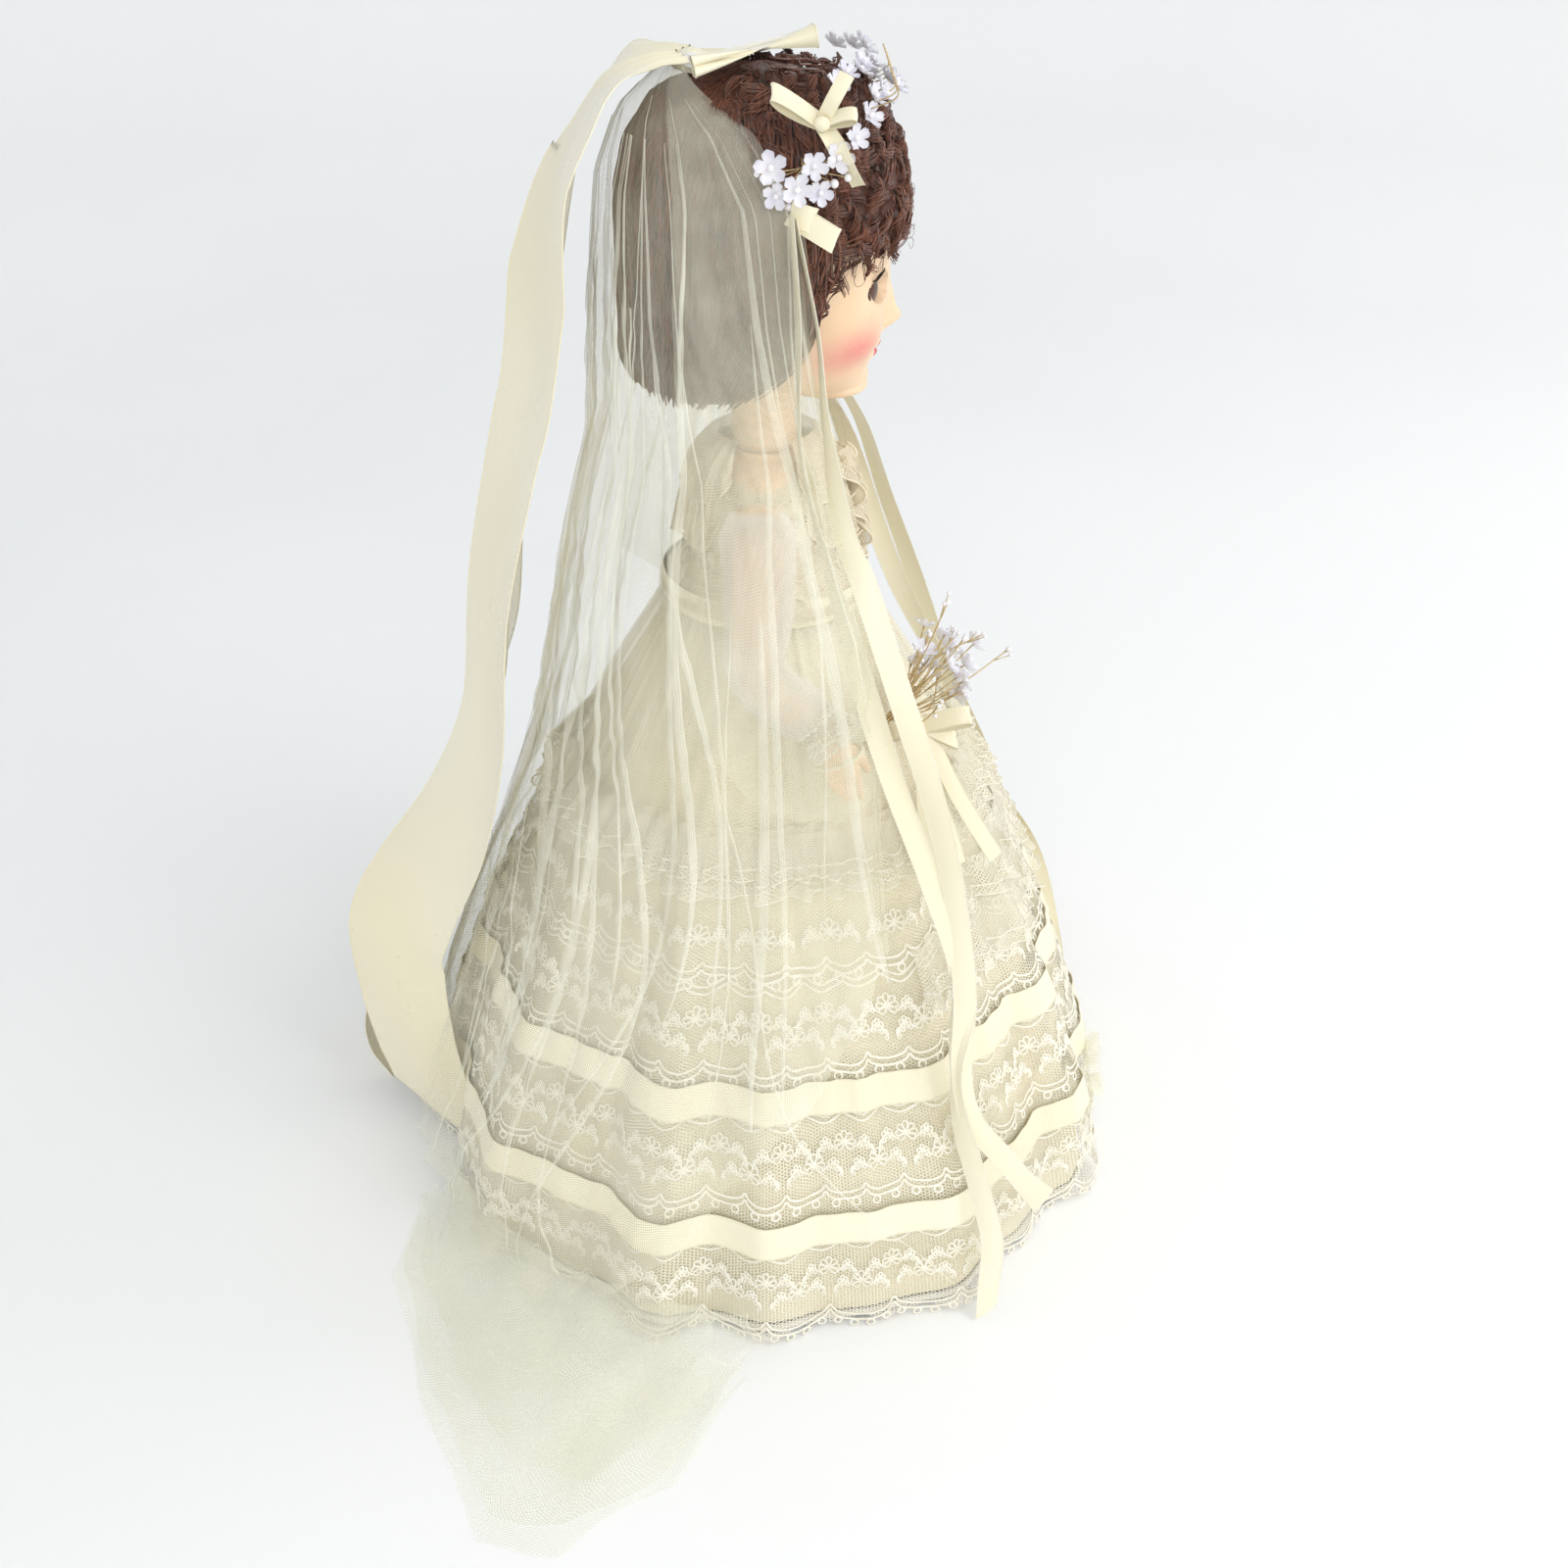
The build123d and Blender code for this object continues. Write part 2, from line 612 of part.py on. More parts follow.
for name, sign in (("right", -1), ("left", 1)):
    points = [side(p, sign) for p in ARM_POINTS]
    fingers = []
    for i in range(4):
        y = KNUCKLES[1] + FINGER_PITCH * (i - 1.5)
        start = (sign * KNUCKLES[0], y, KNUCKLES[2] + 1)
        bend = (sign * (KNUCKLES[0] + 2.4), y - 1.5, KNUCKLES[2] - 8)
        tip = (sign * (KNUCKLES[0] + 1.6), y - 2.5, KNUCKLES[2] - 14 + abs(i - 1.6))
        fingers.append(limb([start, bend, tip], [1.7, 1.65, 1.5]))
    thumb_root = (sign * (KNUCKLES[0] - 2), KNUCKLES[1] - 4, KNUCKLES[2] + 5)
    thumb_tip = (sign * (KNUCKLES[0] - 3), KNUCKLES[1] - 9, KNUCKLES[2] - 4)
    fingers.append(limb([thumb_root, thumb_tip], [2.0, 1.6]))
    arm_solid = limb(points, ARM_RADII)
    arm_hollow = limb(points[:3], [r - WALL for r in ARM_RADII[:3]])
    sleeve_outer = limb(points[:3], SLEEVE_RADII)
    sleeve_inner = limb(points[:3], [r - CLOTH for r in SLEEVE_RADII])
    inside = arm_side_cut(sign)

    with BuildPart() as arm:
        add(arm_solid)
        for finger in fingers:
            add(finger)
        add(arm_hollow, mode=Mode.SUBTRACT)
        with BuildSketch(Plane.YZ.offset(sign * SHOULDER[0] - (12 if sign > 0 else 0))):
            with Locations((SHOULDER[1], SHOULDER[2])):
                Circle(HOOK_HOLE)
        extrude(amount=12, mode=Mode.SUBTRACT)
    keep(f"arm_{name}", arm.part)

    wrist_run = Vector(*points[2]) - Vector(*points[1])
    hand_run = Vector(*points[3]) - Vector(*points[2])
    cuff_plane = Plane(origin=points[2], z_dir=wrist_run.normalized() + hand_run.normalized())
    with BuildPart() as sleeve:
        add(sleeve_outer)
        add(sleeve_inner, mode=Mode.SUBTRACT)
        add(inside, mode=Mode.SUBTRACT)
        with BuildSketch(cuff_plane.offset(-1)):
            Circle(20)
        extrude(amount=30, mode=Mode.SUBTRACT)
    keep(f"sleeve_{name}", sleeve.part)

    with BuildPart() as cuff:
        with BuildSketch(cuff_plane.offset(-0.6)):
            Circle(8.4)
        with BuildSketch(cuff_plane.offset(5.4)):
            Circle(10.2)
        loft()
        with BuildSketch(cuff_plane.offset(-0.6)):
            Circle(6.9)
        with BuildSketch(cuff_plane.offset(5.4)):
            Circle(9.0)
        loft(mode=Mode.SUBTRACT)
    keep(f"cuff_{name}", cuff.part)

    with BuildPart() as arm_hook:
        with BuildSketch(Plane.YZ.offset(sign * 35 - 6.0)):
            with Locations((SHOULDER[1], SHOULDER[2])):
                Circle(1.0)
        extrude(amount=12)
    keep(f"arm_hook_{name}", arm_hook.part)

# ---------------------------------------------------------------- bouquet, held in the right hand
BOUQUET = (-42.0, -62.0, 238.0)
handle_route = [(-60.5, -38, 220), (-53, -48, 226), (-47, -56, 231)]
loop_plane = Plane(origin=(-69.6, -26.5, 217.5), z_dir=(-0.16, -0.35, -0.92))
handle_stem = limb(handle_route, [1.6, 1.6, 1.6])
with BuildPart() as bouquet_handle:
    add(handle_stem)
    with Locations(loop_plane):
        Torus(LOOP_RADIUS, 0.9)
keep("bouquet_handle", bouquet_handle.part)

bouquet_balls = []
for dx, dy, dz in ((0, 0, 0), (-9, -4, 6), (8, -3, 7), (0, -11, 1), (-1, -3, 14), (10, 3, -4), (-4, -8, -9)):
    bouquet_balls.append((BOUQUET[0] + dx, BOUQUET[1] + dy, BOUQUET[2] + dz))
keep("bouquet_flowers", blossoms(bouquet_balls))

with BuildPart() as bouquet_bow:
    with BuildSketch(Plane.YZ.offset(-57)):
        with Locations((-64, 224)):
            RectangleRounded(22, 6, 2)
        with Locations((-60, 212)):
            Rectangle(6, 26)
    extrude(amount=1.2)
keep("bouquet_bow", bouquet_bow.part)

# ---------------------------------------------------------------- legs
LEG_POINTS = [HIP, KNEE, CALF, ANKLE]
LEG_RADII = [12.4, 9.4, 10.0, 6.6]
HEEL = (25.0, 7.0, 10.0)
TOE = (24.0, -19.0, 8.5)
for name, sign in (("right", -1), ("left", 1)):
    points = [side(p, sign) for p in LEG_POINTS]
    foot = [side(HEEL, sign), side(TOE, sign)]
    leg_solid = limb(points + foot[:1], LEG_RADII + [6.2])
    leg_hollow = limb(points, [r - WALL for r in LEG_RADII])
    foot_solid = limb(foot, [6.2, 5.2])
    stocking_radii = LEG_RADII[1:] + [6.2]
    stocking_outer = limb(points[1:] + foot[:1], [r + 0.9 for r in stocking_radii])
    stocking_inner = limb(points[1:] + foot[:1], [r + 0.3 for r in stocking_radii])
    shoe_outer = limb(foot, [9.0, 8.0])
    shoe_inner = limb(points[3:] + foot, [7.1, 6.6, 5.6])
    with BuildPart() as leg:
        add(leg_solid)
        add(foot_solid)
        add(leg_hollow, mode=Mode.SUBTRACT)
        with BuildSketch(Plane.YZ.offset(sign * HIP[0] - (14 if sign > 0 else 0))):
            with Locations((HIP[1], HIP[2])):
                Circle(HOOK_HOLE)
        extrude(amount=14, mode=Mode.SUBTRACT)
    keep(f"leg_{name}", leg.part)

    with BuildPart() as stocking:
        add(stocking_outer)
        add(stocking_inner, mode=Mode.SUBTRACT)
        with BuildSketch(Plane.XY.offset(106)):
            Rectangle(120, 80)
        extrude(amount=30, mode=Mode.SUBTRACT)
        with BuildSketch(Plane.XY.offset(26)):
            Rectangle(120, 80)
        extrude(amount=-30, mode=Mode.SUBTRACT)
    keep(f"stocking_{name}", stocking.part)

    with BuildPart() as shoe:
        add(shoe_outer)
        with BuildSketch(Plane.XY):
            with Locations(((HEEL[0] + TOE[0]) / 2 * sign, (HEEL[1] + TOE[1]) / 2)):
                SlotOverall(41, 16, rotation=90)
        extrude(amount=SOLE)
        add(shoe_inner, mode=Mode.SUBTRACT)
        with BuildSketch(Plane.XY.offset(16)):
            Rectangle(120, 80)
        extrude(amount=20, mode=Mode.SUBTRACT)
        with BuildSketch(Plane.XY):
            Rectangle(120, 80)
        extrude(amount=-20, mode=Mode.SUBTRACT)
    keep(f"shoe_{name}", shoe.part)

    with BuildPart() as leg_hook:
        with BuildSketch(Plane.YZ.offset(sign * 18.5 - 6)):
            with Locations((HIP[1], HIP[2])):
                Circle(1.0)
        extrude(amount=12)
    keep(f"leg_hook_{name}", leg_hook.part)

print(len(parts), "sub-parts")
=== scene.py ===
"""Bride doll in a lace gown with a tulle veil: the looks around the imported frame. Sizes in millimetres."""

from math import cos, pi, radians, sin, tan

import bpy
import numpy as np
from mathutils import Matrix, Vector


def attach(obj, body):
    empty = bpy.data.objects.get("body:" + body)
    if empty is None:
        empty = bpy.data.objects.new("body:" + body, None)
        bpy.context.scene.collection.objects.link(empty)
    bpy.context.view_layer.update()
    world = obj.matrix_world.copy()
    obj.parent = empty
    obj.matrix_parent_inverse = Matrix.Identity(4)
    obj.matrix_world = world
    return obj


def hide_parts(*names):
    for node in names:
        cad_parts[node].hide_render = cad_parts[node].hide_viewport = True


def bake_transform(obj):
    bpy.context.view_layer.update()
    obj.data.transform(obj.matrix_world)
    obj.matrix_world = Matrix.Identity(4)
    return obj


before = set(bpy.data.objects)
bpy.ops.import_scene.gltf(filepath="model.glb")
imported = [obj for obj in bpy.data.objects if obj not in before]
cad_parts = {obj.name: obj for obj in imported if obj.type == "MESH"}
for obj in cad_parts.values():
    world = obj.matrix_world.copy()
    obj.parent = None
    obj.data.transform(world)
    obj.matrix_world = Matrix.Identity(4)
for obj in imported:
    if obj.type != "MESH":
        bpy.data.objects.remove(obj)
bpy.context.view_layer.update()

MM = 0.001
rng = np.random.default_rng(17)

# ---------------------------------------------------------------- camera, light and floor
CAMERA_DISTANCE = 580
CAMERA_HEIGHT = 530
CAMERA_PITCH = 32.4
CAMERA_SIDE = -7
STAGE_PAPER = (0.93, 0.935, 0.93)
scene = bpy.context.scene


def add_camera():
    camera = bpy.data.objects.new("camera", bpy.data.cameras.new("camera"))
    scene.collection.objects.link(camera)
    camera.location = (-CAMERA_DISTANCE * MM, CAMERA_SIDE * MM, CAMERA_HEIGHT * MM)
    camera.rotation_euler = (radians(90 - CAMERA_PITCH), 0, radians(-90))
    camera.data.lens = 38.25
    camera.data.sensor_width = 36
    camera.data.clip_start = 0.01
    scene.camera = camera


def add_area_light(name, place, aim, size, power):
    lamp = bpy.data.objects.new(name, bpy.data.lights.new(name, "AREA"))
    scene.collection.objects.link(lamp)
    lamp.data.energy = power
    lamp.data.size = size
    lamp.data.color = (1.0, 0.99, 0.97)
    lamp.location = place
    direction = np.array(aim) - np.array(place)
    lamp.rotation_euler = Vector(direction).to_track_quat("-Z", "Y").to_euler()


def add_stage():
    """Pale floor that curves up into a backdrop, round the whole object."""
    ring = 96
    profile = [(0.0, 0.0), (0.5, 0.0), (0.9, 0.0), (1.3, 0.02), (1.6, 0.12), (1.8, 0.35), (1.9, 0.8), (1.95, 1.8)]
    grid = np.zeros((len(profile), ring, 3))
    for i, (radius, height) in enumerate(profile):
        angles = np.linspace(0, 2 * pi, ring, endpoint=False)
        grid[i, :, 0] = radius * np.cos(angles)
        grid[i, :, 1] = radius * np.sin(angles)
        grid[i, :, 2] = height
    stage = sheet_object("stage_floor", grid / MM, closed=True)
    stage.data.materials.append(stage_material())


def add_world():
    world = bpy.data.worlds.new("studio")
    world.use_nodes = True
    sky = world.node_tree.nodes["Background"].inputs
    sky["Color"].default_value = (0.93, 0.96, 1.0, 1)
    sky["Strength"].default_value = 0.70
    scene.world = world
    scene.view_settings.view_transform = "Standard"
    scene.view_settings.look = "None"
    scene.cycles.transparent_max_bounces = 22
    scene.cycles.use_denoising = True


# ---------------------------------------------------------------- mesh helpers
def mesh_object(name, vertices, faces, uv=None, smooth=True):
    """Object from vertices in millimetres; uv holds one pair for each vertex."""
    mesh = bpy.data.meshes.new(name)
    mesh.from_pydata((np.asarray(vertices, float) * MM).tolist(), [], [list(f) for f in faces])
    if uv is not None:
        layer = mesh.uv_layers.new(name="UVMap")
        loops = np.zeros(len(mesh.loops), np.int32)
        mesh.loops.foreach_get("vertex_index", loops)
        layer.data.foreach_set("uv", np.asarray(uv, np.float32)[loops].ravel())
    if smooth:
        mesh.shade_smooth()
    mesh.update()
    obj = bpy.data.objects.new(name, mesh)
    scene.collection.objects.link(obj)
    return obj


def grid_faces(rows, columns, closed=False, first=0):
    """Quads of a rows by columns grid whose first vertex has the given number."""
    faces = []
    for i in range(rows - 1):
        for j in range(columns if closed else columns - 1):
            k = (j + 1) % columns
            faces.append((
                first + i * columns + j, first + i * columns + k,
                first + (i + 1) * columns + k, first + (i + 1) * columns + j,
            ))
    return faces


def flat_lengths(grid, closed):
    """UV in millimetres: distance across and distance down the grid."""
    down = np.linalg.norm(np.diff(grid, axis=0), axis=2).mean(axis=1)
    across = np.linalg.norm(np.diff(grid, axis=1), axis=2)
    widest = across[np.argmax(across.sum(axis=1))]
    u = np.concatenate([[0], np.cumsum(widest)])
    v = np.concatenate([[0], np.cumsum(down)])
    return np.stack(np.broadcast_arrays(u[None, :], v[:, None]), axis=2)


def sheet_object(name, grid, closed=False, uv=None):
    rows, columns = grid.shape[:2]
    if uv is None:
        uv = flat_lengths(grid, closed)
    return mesh_object(
        name, grid.reshape(-1, 3), grid_faces(rows, columns, closed), uv.reshape(-1, 2)
    )


class Pile:
    """Collects many small meshes that become one object."""

    def __init__(self):
        self.vertices, self.faces, self.uv, self.count = [], [], [], 0

    def add(self, vertices, faces, uv=None):
        vertices = np.asarray(vertices, float).reshape(-1, 3)
        self.vertices.append(vertices)
        self.uv.append(np.zeros((len(vertices), 2)) if uv is None else np.asarray(uv).reshape(-1, 2))
        self.faces.extend([tuple(v + self.count for v in face) for face in faces])
        self.count += len(vertices)

    def grid(self, grid, closed=False, uv=None):
        rows, columns = grid.shape[:2]
        uv = flat_lengths(grid, closed) if uv is None else uv
        self.add(grid, grid_faces(rows, columns, closed), uv)

    def object(self, name, smooth=True):
        return mesh_object(name, np.concatenate(self.vertices), self.faces, np.concatenate(self.uv), smooth)


def path_frames(path):
    """Unit tangents and two steady unit normals along a path."""
    path = np.asarray(path, float)
    tangent = np.gradient(path, axis=0)
    tangent /= np.linalg.norm(tangent, axis=1)[:, None] + 1e-9
    normal = np.zeros_like(path)
    guess = np.array([0.31, 0.42, 0.85]) if abs(tangent[0][2]) < 0.9 else np.array([1.0, 0.2, 0.1])
    for i, t in enumerate(tangent):
        guess = guess - t * guess.dot(t)
        guess = guess / (np.linalg.norm(guess) + 1e-9)
        normal[i] = guess
    return tangent, normal, np.cross(tangent, normal)


def path_rings(path, turn):
    """Unit circles square to a path, one at each of its points."""
    _, normal, side = path_frames(path)
    return normal[:, None] * np.cos(turn)[None, :, None] + side[:, None] * np.sin(turn)[None, :, None]


def round_directions(angle):
    """Unit vectors level with the floor, as one row of a grid."""
    return np.stack([np.cos(angle), np.sin(angle), 0 * angle], axis=-1)[None, :]


def tube(pile, path, radius, sides=6):
    """Round tube along a path, with closed ends; radius may change along it."""
    path = np.asarray(path, float)
    radius = np.broadcast_to(radius, len(path))
    turn = np.linspace(0, 2 * pi, sides, endpoint=False)
    ring = path_rings(path, turn)
    grid = path[:, None] + ring * radius[:, None, None]
    faces = grid_faces(len(path), sides, True)
    faces.append(tuple(reversed(range(sides))))
    faces.append(tuple((len(path) - 1) * sides + k for k in range(sides)))
    along = np.concatenate([[0], np.cumsum(np.linalg.norm(np.diff(path, axis=0), axis=1))])
    uv = np.stack(np.broadcast_arrays((turn * radius.mean())[None, :], along[:, None]), axis=2)
    pile.add(grid, faces, uv)


def smooth_path(points, count):
    """Catmull-Rom curve through given points, evenly sampled."""
    p = np.asarray(points, float)
    p = np.vstack([2 * p[0] - p[1], p, 2 * p[-1] - p[-2]])
    pieces = []
    for i in range(1, len(p) - 2):
        t = np.linspace(0, 1, 24, endpoint=False)[:, None]
        a, b, c, d = p[i - 1], p[i], p[i + 1], p[i + 2]
        pieces.append(
            0.5 * (2 * b + (c - a) * t + (2 * a - 5 * b + 4 * c - d) * t**2 + (3 * b - a - 3 * c + d) * t**3)
        )
    dense = np.vstack(pieces + [p[-2:-1]])
    length = np.concatenate([[0], np.cumsum(np.linalg.norm(np.diff(dense, axis=0), axis=1))])
    wanted = np.linspace(0, length[-1], count)
    return np.stack([np.interp(wanted, length, dense[:, k]) for k in range(3)], axis=1)


def waves(angle, counts, seed, sharp=1.0):
    """Sum of cosines with seeded phases, from -1 to 1; sharp above 1 gives narrow crests."""
    own = np.random.default_rng(seed)
    total = np.zeros_like(angle, dtype=float)
    weight_sum = 0
    for n in counts:
        weight = own.uniform(0.5, 1)
        total = total + weight * np.cos(n * angle + own.uniform(0, 2 * pi))
        weight_sum += weight
    total = total / weight_sum * 1.6
    return np.clip(np.sign(total) * np.abs(total) ** sharp, -1, 1)


def put(obj, material, body, slot, *nodes):
    """Finish a piece: its material, the body it moves with, the CAD nodes it stands for; slot is not used."""
    obj.data.materials.clear()
    obj.data.materials.append(material)
    if body:
        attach(obj, body)
    if nodes:
        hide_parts(*nodes)
    return obj


def put_with_edges(pile, edges, name, edge_name, material, edge_material, body, slot, *nodes):
    """Finish a piece and the edging sewn to it, which is a piece of its own."""
    piece = put(pile.object(name), material, body, slot, *nodes)
    return piece, put(edges.object(edge_name), edge_material, body, slot)


# ---------------------------------------------------------------- material helpers
class Shader:
    """A Principled material and short ways to add nodes to it."""

    def __init__(self, name, color, roughness, **settings):
        self.material = bpy.data.materials.new(name)
        self.material.use_nodes = True
        self.tree = self.material.node_tree
        self.principled = self.tree.nodes["Principled BSDF"]
        self.set("Base Color", (*color, 1))
        self.set("Roughness", roughness)
        for key, value in settings.items():
            self.set(key.replace("_", " "), value)

    def set(self, key, value):
        self.principled.inputs[key].default_value = value

    def link(self, socket, key):
        self.tree.links.new(socket, self.principled.inputs[key])

    def node(self, kind, inputs=None, **settings):
        node = self.tree.nodes.new(kind)
        for key, value in settings.items():
            setattr(node, key, value)
        for key, value in (inputs or {}).items():
            if isinstance(value, bpy.types.NodeSocket):
                self.tree.links.new(value, node.inputs[key])
            else:
                node.inputs[key].default_value = value
        return node

    def math(self, operation, a, b=0.0):
        return self.node("ShaderNodeMath", {0: a, 1: b}, operation=operation).outputs[0]

    def uv(self):
        return self.node("ShaderNodeUVMap", uv_map="UVMap").outputs[0]

    def place(self):
        """Coordinates fixed in the piece, in metres."""
        return self.node("ShaderNodeTexCoord").outputs["Object"]

    def noise(self, vector, scale, detail=3.0, roughness=0.55):
        inputs = {"Vector": vector, "Scale": scale, "Detail": detail, "Roughness": roughness}
        return self.node("ShaderNodeTexNoise", inputs).outputs["Fac"]

    def ramp(self, value, low, high, to_low=0.0, to_high=1.0, smooth=True):
        inputs = {"Value": value, "From Min": low, "From Max": high, "To Min": to_low, "To Max": to_high}
        kind = "SMOOTHSTEP" if smooth else "LINEAR"
        return self.node("ShaderNodeMapRange", inputs, interpolation_type=kind).outputs[0]

    def mix(self, factor, a, b):
        node = self.node("ShaderNodeMix", {0: factor}, data_type="RGBA")
        for index, value in ((6, a), (7, b)):
            if isinstance(value, bpy.types.NodeSocket):
                self.tree.links.new(value, node.inputs[index])
            else:
                node.inputs[index].default_value = (*value, 1)
        return node.outputs[2]

    def mottle(self, scale, a, b, detail=3.0):
        """Base colour that drifts between two tints."""
        tint = self.ramp(self.noise(self.place(), scale, detail), 0.3, 0.7)
        self.link(self.mix(tint, a, b), "Base Color")

    def bump(self, height, strength, distance):
        inputs = {"Height": height, "Strength": strength, "Distance": distance}
        self.link(self.node("ShaderNodeBump", inputs).outputs[0], "Normal")

    def net(self, pitch, wire):
        """Hexagonal net on the UV map: 1 on the threads and 0 in the holes; wire is the thread share."""
        uv = self.uv()
        k = 2 * pi / (pitch * 0.866)
        total = None
        for angle in (0, 60, 120):
            direction = (k * cos(radians(angle)), k * sin(radians(angle)), 0)
            phase = self.node("ShaderNodeVectorMath", {0: uv, 1: direction}, operation="DOT_PRODUCT")
            wave = self.math("COSINE", phase.outputs["Value"])
            total = wave if total is None else self.math("ADD", total, wave)
        edge = -1.5 + 4.5 * wire
        return self.ramp(total, edge - 0.35, edge + 0.35, 1.0, 0.0)

    def weave(self, pitch):
        """Fine plain weave height on the UV map."""
        uv = self.uv()
        k = 2 * pi / pitch
        rows = []
        for direction in ((k, 0, 0), (0, k, 0)):
            phase = self.node("ShaderNodeVectorMath", {0: uv, 1: direction}, operation="DOT_PRODUCT")
            rows.append(self.math("SINE", phase.outputs["Value"]))
        return self.math("MULTIPLY", rows[0], rows[1])


def stage_material():
    shader = Shader("stage_paper", STAGE_PAPER, 0.85)
    shader.mottle(2.0, STAGE_PAPER, (0.95, 0.95, 0.945))
    return shader.material


def net_material(name, color, pitch, wire, film, strength=0.8):
    """Sheer net: threads over holes, with a little even film from its fuzz."""
    shader = Shader(name, color, 0.6, Sheen_Weight=0.35, Sheen_Roughness=0.4)
    threads = shader.net(pitch, wire)
    patch = shader.ramp(shader.noise(shader.place(), 26.0), 0.35, 0.65, 0.75, 1.25)
    alpha = shader.math("ADD", film, shader.math("MULTIPLY", threads, shader.math("MULTIPLY", patch, strength)))
    shader.link(shader.math("MINIMUM", alpha, 1.0), "Alpha")
    shader.mottle(14.0, color, tuple(c * 0.95 for c in color))
    return shader.material


def satin_material(name, color, deep):
    shader = Shader(name, color, 0.30, Sheen_Weight=0.2, Anisotropic=0.4, Specular_IOR_Level=0.55)
    shader.mottle(9.0, color, deep, 1.0)
    rough = shader.ramp(shader.noise(shader.place(), 30.0), 0.3, 0.7, 0.26, 0.36)
    shader.link(rough, "Roughness")
    shader.bump(shader.weave(0.34), 0.05, 0.0001)
    return shader.material


def thread_material(name, color, deep):
    """Embroidery thread: matte, with a fine twist."""
    shader = Shader(name, color, 0.62, Sheen_Weight=0.3)
    shader.mottle(300.0, color, deep)
    shader.bump(shader.noise(shader.uv(), 6.0, 2.0), 0.35, 0.0002)
    return shader.material


def cloth_material(name, color, deep, pitch=0.5):
    shader = Shader(name, color, 0.7, Sheen_Weight=0.2)
    shader.mottle(30.0, color, deep)
    shader.bump(shader.weave(pitch), 0.25, 0.0002)
    return shader.material


IVORY = (0.90, 0.85, 0.66)
IVORY_DEEP = (0.86, 0.79, 0.57)
CREAM = (0.93, 0.88, 0.72)
TULLE = (0.96, 0.94, 0.76)
satin = satin_material("satin_ivory", IVORY, IVORY_DEEP)
lace_net = net_material("lace_net", CREAM, 1.3, 0.30, 0.05, 0.62)
over_net = net_material("overskirt_net", CREAM, 1.2, 0.28, 0.10, 0.6)
veil_net = net_material("veil_tulle", TULLE, 1.0, 0.25, 0.03, 0.34)
# Folded tulle: denser net for the doubled layers, and a whiter colour than the veil that is a painted highlight along
# the folds.
fold_highlight_net = net_material("veil_tulle_folded_highlight", (0.98, 0.97, 0.83), 1.0, 0.30, 0.10, 0.42)
train_net = net_material("train_tulle", (0.96, 0.95, 0.77), 1.0, 0.25, 0.035, 0.34)
sleeve_net = net_material("sleeve_tulle", (0.96, 0.91, 0.87), 0.7, 0.25, 0.14, 0.55)
lace_thread = thread_material("lace_thread", (0.95, 0.92, 0.80), (0.89, 0.83, 0.67))
taffeta = cloth_material("taffeta_lining", (0.94, 0.87, 0.65), (0.90, 0.81, 0.57))
beige = cloth_material("bodice_cloth", (0.78, 0.67, 0.46), (0.71, 0.59, 0.38))
beige_net = net_material("collar_lace", (0.86, 0.76, 0.57), 0.9, 0.35, 0.22, 0.75)
beige_thread = thread_material("collar_thread", (0.90, 0.82, 0.64), (0.82, 0.71, 0.50))
cotton = cloth_material("cotton_knit", (0.92, 0.91, 0.87), (0.85, 0.84, 0.79), 0.8)

# ---------------------------------------------------------------- the bell of the skirt
WAIST_Z = 256
WAIST_RADIUS = 36
HEM_RADIUS = 148
BELL_POWER = 1.42
FOLD_COUNTS = (9, 13, 17, 22)
GATHER_COUNTS = (43, 52, 61)


def bell(z):
    return WAIST_RADIUS + (HEM_RADIUS - WAIST_RADIUS) * (1 - np.clip(z / WAIST_Z, 0, 1) ** BELL_POWER)


def skirt_point(angle, z, off=0.0, follow=1.0):
    """Point on the folded skirt: an angle from +X, a height, and an offset outwards."""
    angle, z = np.broadcast_arrays(np.asarray(angle, float), np.asarray(z, float))
    drop = np.clip((WAIST_Z - z) / WAIST_Z, 0, 1)
    folds = waves(angle, FOLD_COUNTS, 5, 1.15) * (0.5 + 6.6 * drop)
    gathers = waves(angle, GATHER_COUNTS, 6) * (1.0 - 0.75 * drop)
    radius = bell(z) + off + follow * (folds + gathers)
    return np.stack([radius * np.cos(angle), radius * np.sin(angle), z], axis=-1)


def skirt_sheet(name, low, high, off, rows, columns=720, follow=1.0, start=0.0, arc=2 * pi, hem=None):
    """Sheet on the skirt between two heights; hem(angle) may lower or raise its bottom edge."""
    closed = arc >= 2 * pi - 1e-6
    angle = start + np.linspace(0, arc, columns, endpoint=not closed)
    share = np.linspace(0, 1, rows)[:, None]
    bottom = low + (hem(angle) if hem else 0 * angle)
    z = high + (bottom[None, :] - high) * share
    grid = skirt_point(angle[None, :], z, off, follow)
    middle = bell((low + high) / 2)
    uv = np.stack(np.broadcast_arrays(angle[None, :] * middle, high - z), axis=2)
    if closed:
        grid = np.concatenate([grid, grid[:, :1]], axis=1)
        uv = np.concatenate([uv, uv[:, :1] + [[[2 * pi * middle, 0]]]], axis=1)
    return grid, uv


def ruffle_sheet(low, high, off, flare, counts, seed, columns, start=0.0, arc=2 * pi):
    """Gathered strip: tight at its top, in deep flutes at its bottom."""
    angle = start + np.linspace(0, arc, columns)
    rows = 9
    share = np.linspace(0, 1, rows)[:, None]
    z = high + (low - high) * share
    base = skirt_point(angle[None, :], z, off)
    flute = waves(angle, counts, seed, 1.0)[None, :]
    push = flare * share * (0.55 + 0.45 * flute) + 0.6 * flute * (1 - share)
    outward = round_directions(angle)
    swing = waves(angle, counts, seed + 1, 1.0)[None, :, None] * share[:, :, None] * 1.6
    tangent = np.stack([-np.sin(angle), np.cos(angle), 0 * angle], axis=-1)[None, :]
    grid = base + outward * push[:, :, None] + tangent * swing
    uv = np.stack(np.broadcast_arrays(angle[None, :] * bell(low) * 1.7, (high - z)), axis=2)
    return grid, uv


